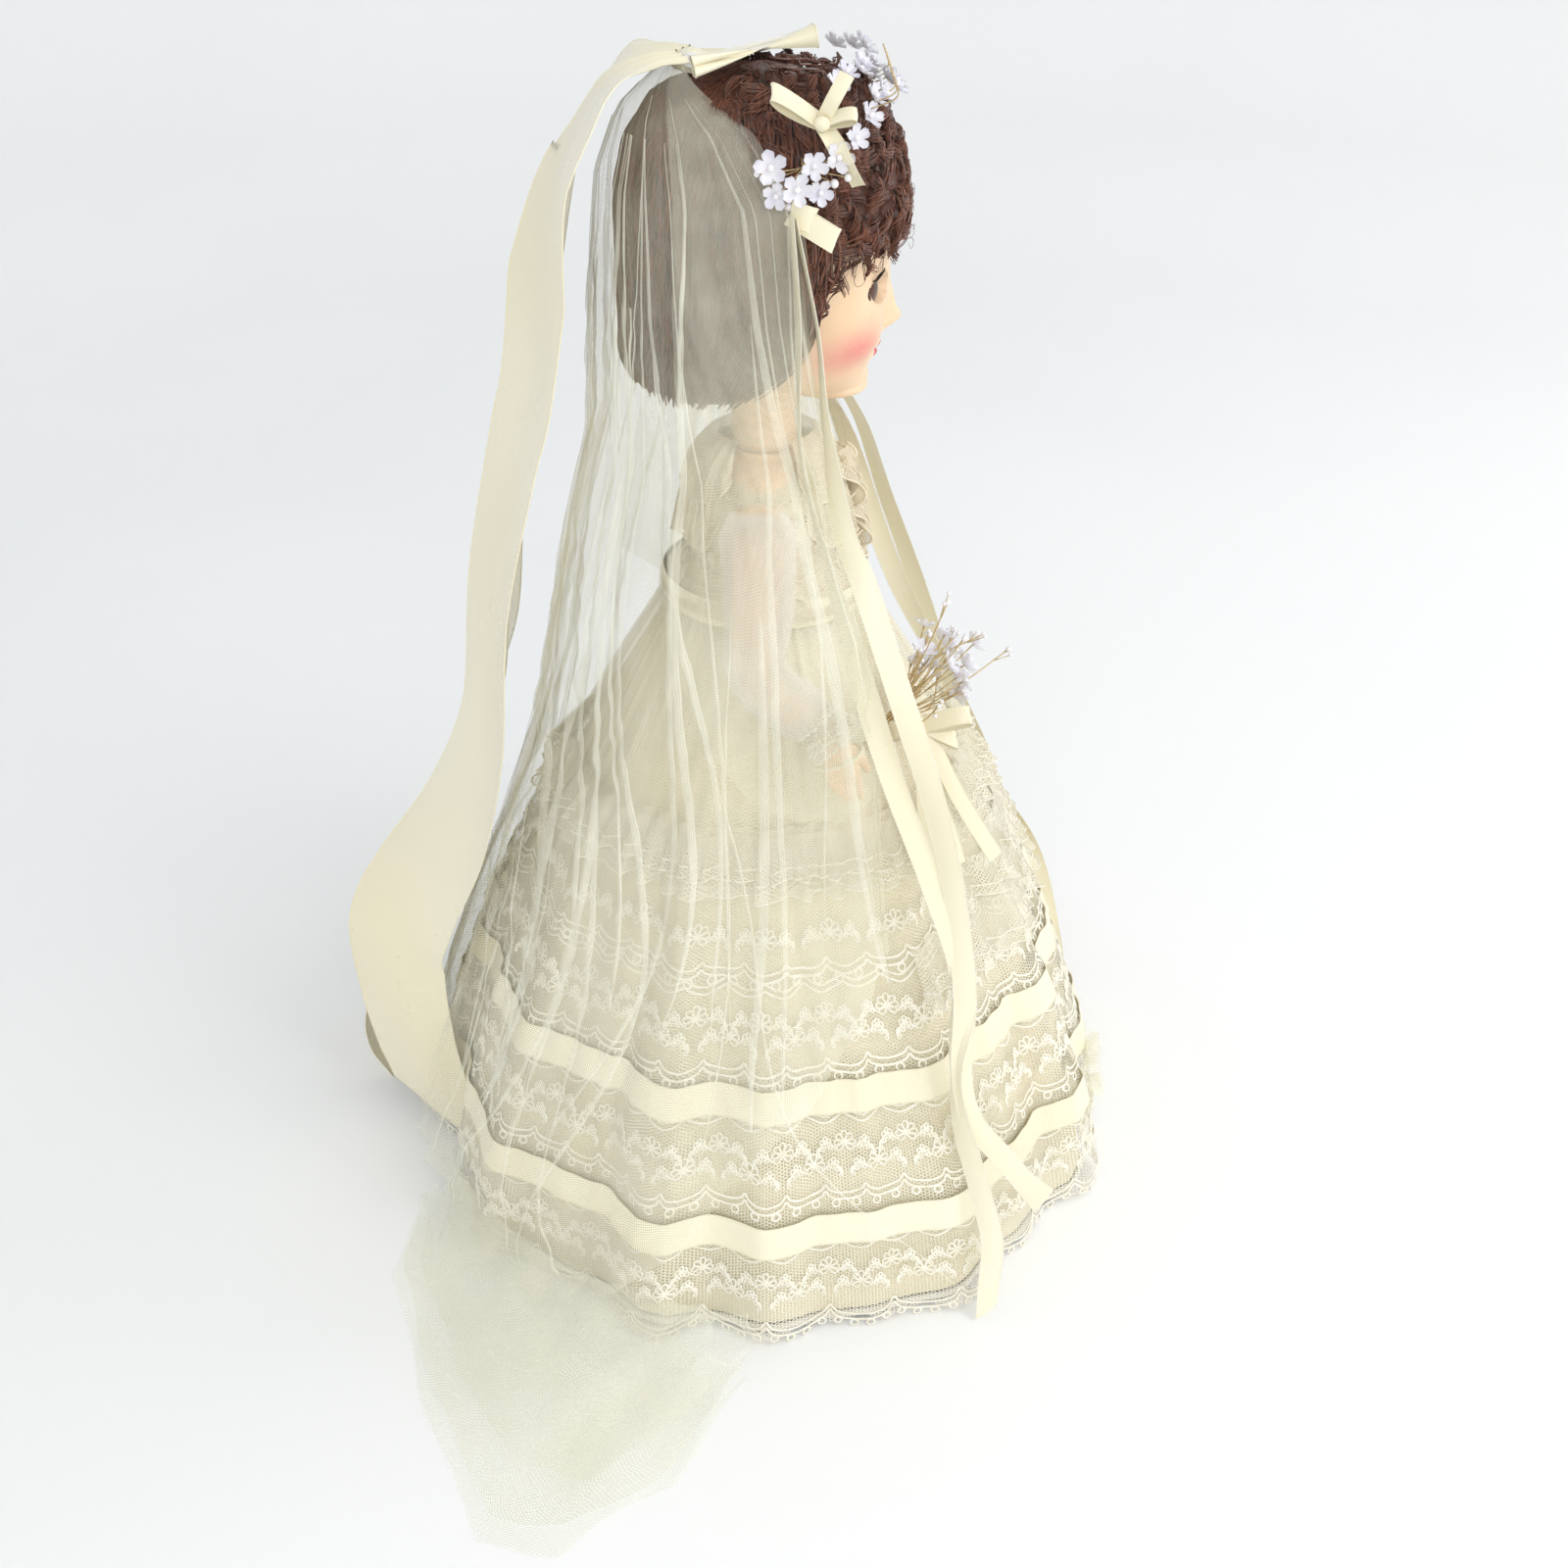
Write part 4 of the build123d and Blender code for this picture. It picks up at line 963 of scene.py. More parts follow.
def build_headpiece():
    petals, beads, stems = Pile(), Pile(), Pile()
    own = np.random.default_rng(8)
    anchor = np.array([-6, 0, 400.0])
    places = []
    for x in np.linspace(-31, 20, 9):
        front = -43 + 0.016 * (x + 5) ** 2
        places.append((x, front, 434 - 0.006 * (x + 3) ** 2, 4.6))
        places.append((x + 3, front + 9, 441 - 0.004 * (x + 3) ** 2, 4.3))
    for centre in places:
        spot = np.array(centre[:3]) + own.normal(0, 1.0, 3)
        blossom(petals, beads, spot, spot - anchor, centre[3], own.uniform(0, 2))
    front = petals.object("front_blossoms")
    put(front, blossom_look, "head", "blossom", "flower_cluster_front")
    put(beads.object("front_beads"), pearl_look, "head", "blossom")

    petals, beads = Pile(), Pile()
    for sign in (-1, 1):
        for place, radius in (
            ((53.5, -3, 417), 5.4), ((55, -11, 411), 5.2), ((51.5, -16, 417), 4.6), ((49, -23.5, 419), 5.0),
            ((54.5, -4.5, 409), 4.4), ((52.5, -18, 409.5), 4.2), ((45, -29, 424), 4.2),
        ):
            spot = np.array([sign * place[0], place[1], place[2]])
            blossom(petals, beads, spot, spot - (0, -4, 404), radius, own.uniform(0, 2))
        for _ in range(9):
            spot = np.array([sign * own.uniform(48, 54), own.uniform(-27, 2), own.uniform(404, 422)])
            ball(beads, spot, own.uniform(0.9, 1.5))
            tube(stems, smooth_path([spot, (sign * 47, -13, 416), (sign * 40, -14, 420)], 10), 0.22, 5)
    put(petals.object("side_blossoms"), blossom_look, "head", "blossom", "flower_cluster_side")
    put(beads.object("side_beads"), pearl_look, "head", "blossom")
    for x in np.linspace(-32, 24, 8):
        root = (x, -34, 430)
        tube(stems, smooth_path([root, (x - 2, -42, 434), (x - 4, -40, 441)], 10), 0.25, 5)
    put(stems.object("headpiece_stems"), stem_look, "head", "stem_wire")


blossom_look = blossom_material()
pearl_look = pearl_material()
stem_look = stem_material()

# ---------------------------------------------------------------- bodice, collar and belt
TORSO = np.array([
    (213, 37, 29, 0), (230, 33, 27, 0), (250, 31.5, 25, 0), (270, 35.5, 26, 0),
    (290, 36.8, 23, 0), (300, 33, 18, 0), (308, 18, 15, 0),
], float)


def smooth_column(z, table, column):
    """Smooth curve through one column of a section table that rises in height."""
    x, y = table[:, 0], table[:, column]
    slope = np.gradient(y, x)
    z = np.clip(z, x[0], x[-1])
    i = np.clip(np.searchsorted(x, z) - 1, 0, len(x) - 2)
    h = x[i + 1] - x[i]
    t = (z - x[i]) / h
    return (
        (2 * t**3 - 3 * t**2 + 1) * y[i] + (t**3 - 2 * t**2 + t) * h * slope[i]
        + (3 * t**2 - 2 * t**3) * y[i + 1] + (t**3 - t**2) * h * slope[i + 1]
    )


def section_point(table, angle, z, grow=0.0):
    """Point on a body lofted through ellipses; angle runs from +X towards +Y."""
    angle, z = np.broadcast_arrays(np.asarray(angle, float), np.asarray(z, float))
    a, b, centre = (smooth_column(z, table, k) for k in (1, 2, 3))
    return np.stack([(a + grow) * np.cos(angle), centre + (b + grow) * np.sin(angle), z], axis=-1)


def lace_spray(pile, place, count, seed, size):
    """Scatters small flower motifs; place(u, v) turns a flat spot into a point on the cloth."""
    own = np.random.default_rng(seed)
    for k in range(count):
        u0, v0 = (k + 0.5) / count, own.uniform(0.08, 0.92)
        for across, up in flower_motif():
            points = place(u0, v0, np.asarray(across) * size, np.asarray(up) * size)
            tube(pile, points, 0.32, 4)


def fullness(z, angle):
    """How far the bodice stands off the body: it blouses over the belt, out to the belt's round."""
    round_out = 6.2 + 6.6 * np.sin(angle) ** 2
    return 1.9 + round_out * np.exp(-(((np.asarray(z) - 257.0) / 8.5) ** 2))


def build_bodice():
    angle = np.linspace(0, 2 * pi, 241)
    z = np.linspace(304, 255, 34)[:, None]
    ripple = 0.35 * waves(angle, (38, 46, 57), 71)[None, :] * (0.4 + 0.6 * np.abs(np.sin(z / 9)))
    grid = section_point(TORSO, angle[None, :], z, fullness(z, angle[None, :]))
    outward = round_directions(angle)
    grid = grid + outward * ripple[:, :, None]
    lining = Pile()
    lining.grid(grid - outward * 0.9)
    cloth = lining.object("bodice_lining")
    put(cloth, beige, "torso", "taffeta", "bodice")
    lace = Pile()
    lace.grid(grid)
    net = lace.object("bodice_lace")
    put(net, beige_net, "torso", "lace")

    threads = Pile()

    def place(u, v, across, up):
        z = 262 + 34 * v + up
        turn = u * 2 * pi + across / 34
        return section_point(TORSO, turn, z, fullness(z, turn) + 0.3)

    lace_spray(threads, place, 16, 5, 0.75)
    for height in (264, 270, 299):
        turn = np.linspace(0, 2 * pi, 201)
        z = height + 1.1 * np.abs(np.sin(14 * turn))
        tube(threads, section_point(TORSO, turn, z, fullness(z, turn) + 0.4), 0.4, 4)
    stitches = threads.object("bodice_embroidery")
    put(stitches, beige_thread, "torso", "lace")

    belt = Pile()
    rows = []
    for height, radius in ((252.6, 39.0), (255, 39.8), (257.5, 39.5), (260, 39.9), (262.4, 38.9)):
        rows.append(np.stack([
            (radius + 0.25 * np.sin(7 * angle)) * np.cos(angle), (radius + 0.2 * np.cos(5 * angle)) * np.sin(angle),
            height + 0.3 * np.sin(4 * angle),
        ], axis=-1))
    belt.grid(np.stack(rows))
    for row in (0, -1):
        tube(belt, rows[row], 0.3, 5)
    band = belt.object("belt_satin")
    put(band, satin, "torso", "satin", "belt_ribbon")

    build_collar()


def collar_tier(pile, edge, middle, half, top, bottom, top_radius, bottom_radius, seed, depth):
    """One gathered tier of the lace collar, centred on an angle, fuller towards its edge."""
    angle = radians(middle) + np.radians(np.linspace(-half, half, 260))
    share = np.linspace(0, 1, 12)[:, None]
    flute = waves(angle * 1.0, (17, 23, 29, 37), seed)[None, :]
    end = np.clip((half - np.abs(np.linspace(-half, half, 260))) / 10, 0, 1)[None, :] ** 0.5
    radius = top_radius + (bottom_radius - top_radius) * (share * 0.75 + 0.25 * np.sqrt(share)) * (0.5 + 0.5 * end)
    radius = radius + depth * flute * share
    swing = 0.5 * depth * waves(angle, (19, 27, 33), seed + 1)[None, :] * share / bottom_radius
    z = top + (bottom - top) * share * (0.55 + 0.45 * end) + 0.9 * flute * share + 3.0 * np.sin(share * pi)
    turn = angle[None, :] + swing
    squeeze = 0.80 + 0.20 * np.clip((z - 280) / 40, 0, 1)
    grid = np.stack(np.broadcast_arrays(radius * np.cos(turn), radius * squeeze * np.sin(turn), z), axis=2)
    scallop = 0.9 * np.abs(np.sin(np.linspace(0, 46, 260)))
    grid[-1, :, 2] -= scallop
    uv = np.stack(np.broadcast_arrays((angle * bottom_radius * 2.2)[None, :], share * (top - bottom) * 1.2), axis=2)
    pile.grid(grid, uv=uv)
    tube(edge, grid[-1], 0.5, 5)
    tube(edge, grid[-3], 0.3, 4)
    for start in range(4, 250, 12):
        column = grid[:, start:start + 9]
        loop = [column[9, 1], column[7, 2], column[6, 4], column[7, 6], column[9, 7], column[10, 4], column[9, 1]]
        tube(edge, smooth_path(loop, 14), 0.36, 4)
        eye = [column[9, 3], column[8, 4], column[9, 5], column[10, 4], column[9, 3]]
        tube(edge, smooth_path(eye, 10), 0.3, 4)


def build_collar():
    cloth, edge = Pile(), Pile()
    for middle, seed in ((270, 81), (90, 91)):
        collar_tier(cloth, edge, middle, 62, 316, 296, 18.5, 33, seed, 2.4)
        collar_tier(cloth, edge, middle, 58, 311, 281, 19.5, 41, seed + 3, 3.4)
    for shift, seed in ((0, 101), (3, 104)):
        t = np.linspace(0, 1, 60)[:, None]
        s = np.linspace(-1, 1, 15)[None, :]
        width = 6 + 9 * t**0.8
        x = s * width + 2.2 * np.sin(17 * t + 2 * s + seed)
        y = -29 - 7 * np.sin(np.clip(t * 1.1, 0, 1) * pi * 0.55)
        y = y - 3.6 * np.cos(15 * t + 5 * s) * (0.3 + 0.7 * np.abs(s))
        z = 309 - (38 - 6 * shift / 3) * t - 2 * np.abs(s) + 0 * x
        rows = np.stack(np.broadcast_arrays(x, y + shift * 0.7, z), axis=2)
        cloth.grid(rows)
        for side in (0, -1):
            tube(edge, rows[:, side], 0.5, 5)
            tube(edge, rows[:, 2 if side == 0 else -3], 0.3, 4)
        tube(edge, rows[-1], 0.5, 5)
    collar, trim = put_with_edges(
        cloth, edge, "collar_lace_tiers", "collar_lace_edges", beige_net, beige_thread,
        "torso", "lace", "collar_ruffle",
    )


# ---------------------------------------------------------------- the head
HEAD = np.array([
    (327.6, 1.5, 1.5, -24), (329, 8, 8, -24), (334, 18, 18.5, -16.5), (345, 28.5, 30, -8.5), (352, 32.5, 35.5, -5.5),
    (360, 35.5, 39, -3.5), (380, 39, 43.6, 0), (400, 38.5, 43, 2), (416, 31, 35, 3), (427, 19, 22, 3),
    (432.8, 2, 2, 3),
], float)


def bump_at(x, z, x0, z0, wide, tall):
    return np.exp(-(((x - x0) / wide) ** 2) - ((z - z0) / tall) ** 2)


def almond(x, z):
    """Below 1 inside an eye opening, for the eye nearest to x."""
    u = (np.abs(x) - EYE[0] + 0.3) / 7.4
    lift = 0.8 * u
    upper = 5.2 * np.clip(1 - u**2, 0, 1) ** 0.6
    lower = 4.3 * np.clip(1 - np.abs(u) ** 2.4, 0, 1) ** 0.7
    height = z - EYE[2] - lift + 0.4
    reach = np.where(height > 0, upper, lower)
    return np.where(np.abs(u) < 1, np.abs(height) / (reach + 1e-6), 9.0)


EYE = (14.5, -28.5, 370.0)
EYE_RADIUS = 10.0
IRIS_RADIUS = 7.9


def face_relief(x, z):
    """How far the face stands forward of the plain egg, in millimetres."""
    ax = np.abs(x)
    out = 5.2 * bump_at(ax, z, 0, 356.0, 3.3, 3.6)
    out += 2.4 * bump_at(ax, z, 0, 362.0, 3.0, 5.5)
    out += 1.5 * bump_at(ax, z, 3.6, 354.6, 1.9, 2.2)
    out -= 0.9 * bump_at(ax, z, 2.0, 352.3, 1.1, 0.8)
    out -= 0.5 * bump_at(ax, z, 0, 350.2, 1.2, 1.8)
    out += 1.5 * bump_at(ax, z, 2.0, 347.4, 4.2, 1.5)
    out += 1.9 * bump_at(ax, z, 0, 343.4, 4.6, 1.6)
    out -= 1.0 * bump_at(ax, z, 0, 345.4, 6.4, 0.55)
    out -= 0.8 * bump_at(ax, z, 7.4, 345.6, 1.5, 1.5)
    out -= 0.9 * bump_at(ax, z, 0, 339.6, 6.0, 1.9)
    out += 1.7 * bump_at(ax, z, 0, 333.6, 7.0, 4.0)
    out += 2.0 * bump_at(ax, z, 18, 351.5, 9.5, 9.0)
    out -= 1.0 * bump_at(ax, z, 14.5, 370, 10.5, 8.0)
    out += 0.7 * bump_at(ax, z, 15, 380, 11, 4.0)
    return out


def build_head():
    front = np.concatenate([
        np.linspace(-90, -58, 14, endpoint=False), np.linspace(-58, 58, 250, endpoint=False), np.linspace(58, 90, 14),
        np.linspace(96, 264, 40),
    ])
    angle = radians(-90) + np.radians(front)
    z = np.concatenate([
        np.linspace(327.6, 340, 24, endpoint=False), np.linspace(340, 385, 130, endpoint=False),
        np.linspace(385, 432.8, 40),
    ])[:, None]
    grid = section_point(HEAD, angle[None, :], z)
    x, y, height = grid[:, :, 0], grid[:, :, 1], grid[:, :, 2]
    facing = np.clip(-np.sin(angle)[None, :] * 1.6 - 0.25, 0, 1)
    y -= face_relief(x, height) * facing
    x += np.sign(x) * 0.8 * bump_at(np.abs(x), height, 26, 352, 9, 9) * facing
    inside = almond(x, height)
    socket = np.clip((1.12 - inside) / 0.16, 0, 1) * (y < -20)
    rim = np.exp(-(((inside - 1.22) / 0.16) ** 2)) * (y < -20)
    y += socket * 9.0 - rim * 0.55

    head = sheet_object("head_vinyl", grid, closed=True)
    paint = head.data.color_attributes.new(name="paint", type="FLOAT_COLOR", domain="POINT")
    ax = np.abs(x)
    cheek = 0.8 * bump_at(ax, height, 22.5, 351, 8.6, 7.2) * (y < -5)
    lips_up = bump_at(ax, height, 2.1, 347.1, 3.9, 1.35) > 0.42
    lips_low = bump_at(ax, height, 0, 343.7, 4.9, 1.55) > 0.42
    lips = (lips_up | lips_low).astype(float) * (y < -20)
    arch = 381.5 + 2.2 * np.sin(np.clip((ax - 6) / 17, 0, 1) * pi * 0.85)
    brow = np.exp(-(((height - arch) / 0.75) ** 2)) * ((ax > 7) & (ax < 21)) * (y < -15)
    shade = np.exp(-(((inside - 1.1) / 0.22) ** 2)) * (height > EYE[2] + 0.5) * (y < -20)
    color = np.stack([cheek, lips, np.clip(brow, 0, 1), shade], axis=2).reshape(-1, 4)
    paint.data.foreach_set("color", color.astype(np.float32).ravel())
    put(head, skin_look, "head", "vinyl_skin", "head_shell")

    neck = Pile()
    turn = np.linspace(0, 2 * pi, 49)
    rows = []
    for height, radius, back in (
        (310.9, 13.2, 0), (314, 12.7, 0), (322, 12.2, 0), (330, 12.6, 0), (338, 14.5, 0), (345, 18, 1),
    ):
        rows.append(np.stack([
            radius * np.cos(turn), back + radius * np.sin(turn), height + 0 * turn,
        ], axis=-1))
    rows.insert(0, rows[0] * [0.5, 0.5, 1])
    neck.grid(np.stack(rows))
    put(neck.object("neck_vinyl"), skin_look, "head", "vinyl_skin")


def skin_material():
    shader = Shader("painted_vinyl", (0.86, 0.62, 0.41), 0.42, Subsurface_Weight=0.18, Coat_Weight=0.10)
    shader.set("Subsurface Radius", (0.004, 0.002, 0.0012))
    mottled = shader.ramp(shader.noise(shader.place(), 60.0), 0.3, 0.7)
    base = shader.mix(mottled, (0.88, 0.65, 0.43), (0.84, 0.60, 0.385))
    paint = shader.node("ShaderNodeAttribute", attribute_name="paint")
    split = shader.node("ShaderNodeSeparateColor", {0: paint.outputs["Color"]})
    grain = shader.ramp(shader.noise(shader.place(), 900.0), 0.2, 0.8, 0.8, 1.0)
    blush = shader.math("MULTIPLY", split.outputs[0], grain)
    rosy = shader.mix(blush, base, (0.80, 0.20, 0.20))
    lips = shader.mix(split.outputs[1], rosy, (0.62, 0.08, 0.12))
    shader.link(shader.mix(split.outputs[2], lips, (0.18, 0.08, 0.045)), "Base Color")
    rough = shader.ramp(shader.noise(shader.place(), 120.0), 0.3, 0.7, 0.36, 0.48)
    shader.link(rough, "Roughness")
    shader.bump(shader.noise(shader.place(), 1500.0), 0.08, 0.0001)
    return shader.material


def eye_white_material():
    shader = Shader("eye_white", (0.90, 0.89, 0.87), 0.12, Coat_Weight=0.5)
    paint = shader.node("ShaderNodeAttribute", attribute_name="paint")
    split = shader.node("ShaderNodeSeparateColor", {0: paint.outputs["Color"]})
    tint = shader.ramp(shader.noise(shader.place(), 300.0), 0.3, 0.7)
    white = shader.mix(tint, (0.91, 0.90, 0.88), (0.85, 0.85, 0.86))
    shader.link(shader.mix(split.outputs[0], white, (0.80, 0.52, 0.38)), "Base Color")
    return shader.material


def iris_material():
    shader = Shader("eye_iris", (0.20, 0.09, 0.04), 0.22, Coat_Weight=0.15, Specular_IOR_Level=0.25)
    uv = shader.node("ShaderNodeSeparateXYZ", {0: shader.uv()})
    spokes = shader.node("ShaderNodeCombineXYZ", {0: shader.math("MULTIPLY", uv.outputs[0], 14.0), 1: 0.0})
    streak = shader.ramp(shader.noise(spokes.outputs[0], 1.4, 2.0), 0.3, 0.7)
    brown = shader.mix(streak, (0.13, 0.05, 0.022), (0.045, 0.018, 0.009))
    rim = shader.ramp(uv.outputs[1], 0.80, 0.97)
    dark = shader.mix(rim, brown, (0.02, 0.01, 0.008))
    pupil = shader.ramp(uv.outputs[1], 0.36, 0.44)
    shader.link(shader.mix(pupil, (0.005, 0.005, 0.006), dark), "Base Color")
    return shader.material


def lash_material():
    shader = Shader("lash_fibre", (0.012, 0.010, 0.010), 0.4)
    shader.mottle(900.0, (0.010, 0.008, 0.008), (0.03, 0.022, 0.02))
    return shader.material


skin_look = skin_material()
white_look = eye_white_material()
iris_look = iris_material()
lash_look = lash_material()


def build_eyes():
    irises, lashes = Pile(), Pile()
    for name, sign in (("right", -1), ("left", 1)):
        centre = np.array([sign * EYE[0], EYE[1], EYE[2]])
        tilt = np.linspace(np.arcsin(IRIS_RADIUS / EYE_RADIUS), pi - 0.02, 60)[:, None]
        turn = np.linspace(0, 2 * pi, 72, endpoint=False)[None, :]
        x = EYE_RADIUS * np.sin(tilt) * np.cos(turn)
        z = EYE_RADIUS * np.sin(tilt) * np.sin(turn)
        y = -EYE_RADIUS * np.cos(tilt) + 0 * turn
        white = sheet_object(f"eyeball_{name}_white", np.stack([x, y, z], axis=2) + centre, closed=True)
        lid = ((np.degrees(np.arctan2(z, -y)) > 24) & (z > 0)).astype(float)
        paint = white.data.color_attributes.new(name="paint", type="FLOAT_COLOR", domain="POINT")
        color = np.stack([lid, 0 * lid, 0 * lid, 1 + 0 * lid], axis=2).reshape(-1, 4)
        paint.data.foreach_set("color", color.astype(np.float32).ravel())
        put(white, white_look, "eyes", "eye_white", f"eyeball_{name}")

        tilt = np.linspace(0.001, np.arcsin(IRIS_RADIUS / EYE_RADIUS), 14)[:, None]
        turn = np.linspace(0, 2 * pi, 49)[None, :]
        swell = EYE_RADIUS + 0.25 * (1 - (tilt / tilt[-1]) ** 2)
        x, y, z = np.sin(tilt) * np.cos(turn), -np.cos(tilt) + 0 * turn, np.sin(tilt) * np.sin(turn)
        grid = swell[..., None] * np.stack([x, y, z], axis=2) + centre
        uv = np.stack(np.broadcast_arrays(turn, tilt / tilt[-1]), axis=2)
        irises.grid(grid, uv=uv)

        for k in range(22):
            across = -5.6 + 11.2 * k / 21
            ring = np.sqrt(max(EYE_RADIUS**2 - across**2, 1.0))
            base = centre + [across, -ring * cos(radians(25)), ring * sin(radians(25))]
            spread = across * 0.22 + sign * 0.5
            lift = 2.2 + 0.7 * abs(across) / 6
            path = smooth_path([base, base + [spread * 0.5, -2.0, 0.5], base + [spread * 1.2, -3.4, lift]], 8)
            tube(lashes, path, np.linspace(0.34, 0.10, 8), 5)
        across = np.linspace(-6, 6, 20)
        ring = np.sqrt(EYE_RADIUS**2 - across**2) + 0.15
        bar = centre + np.stack([across, -ring * cos(radians(25)), ring * sin(radians(25))], axis=-1)
        tube(lashes, bar, 0.42, 6)
    put(irises.object("irises_glass"), iris_look, "eyes", "eye_iris", "irises")
    put(lashes.object("lashes_upper"), lash_look, "eyes", "lash_black", "lash_bars")


# ---------------------------------------------------------------- the wig
WIG = np.array([
    (335, 36, 27, 18), (342, 41, 35, 14), (358, 49, 44, 6), (385, 51.5, 49, 0.5), (405, 50, 48, 0),
    (422, 42, 41, 0), (433, 27, 28, 0), (439, 3, 3, 0),
], float)


def hair_material(name, light, dark, sheen):
    shader = Shader(name, light, 0.42, Sheen_Weight=sheen, Anisotropic=0.5)
    stretched = shader.node("ShaderNodeVectorMath", {0: shader.place(), 1: (700, 700, 90)}, operation="MULTIPLY")
    streak = shader.ramp(shader.noise(stretched.outputs[0], 1.0, 3.0), 0.3, 0.7)
    patch = shader.ramp(shader.noise(shader.place(), 70.0), 0.3, 0.7)
    mixed = shader.mix(streak, dark, light)
    shader.link(shader.mix(shader.math("MULTIPLY", patch, 0.45), mixed, dark), "Base Color")
    return shader.material


hair_look = hair_material("hair_auburn", (0.27, 0.092, 0.042), (0.085, 0.028, 0.015), 0.2)
# The underlayer hair is about half as bright as the strands: a shaded copy of the hair, painted shade deep in the
# wig.
hair_shade_look = hair_material("hair_underlayer_painted_shade", (0.13, 0.040, 0.020), (0.06, 0.020, 0.011), 0.1)


def strand_object(name, paths, radius, sides=3):
    """Many thin tubes at once: paths is (strands, points, 3), radius matches or broadcasts."""
    strands, points = paths.shape[:2]
    tangent = np.gradient(paths, axis=1)
    tangent /= np.linalg.norm(tangent, axis=2)[:, :, None] + 1e-9
    guess = np.array([0.35, 0.25, 0.9])
    normal = np.cross(tangent, guess)
    normal /= np.linalg.norm(normal, axis=2)[:, :, None] + 1e-9
    side = np.cross(tangent, normal)
    turn = np.linspace(0, 2 * pi, sides, endpoint=False)[None, None, :, None]
    radius = np.broadcast_to(radius, (strands, points))[:, :, None, None]
    grid = paths[:, :, None] + (normal[:, :, None] * np.cos(turn) + side[:, :, None] * np.sin(turn)) * radius
    base = (np.arange(strands) * points * sides)[:, None, None]
    i = (np.arange(points - 1) * sides)[None, :, None]
    j, k = np.arange(sides)[None, None, :], (np.arange(sides) + 1)[None, None, :] % sides
    quads = np.stack([base + i + j, base + i + k, base + i + sides + k, base + i + sides + j], axis=3)
    return mesh_object(name, grid.reshape(-1, 3), quads.reshape(-1, 4).tolist())


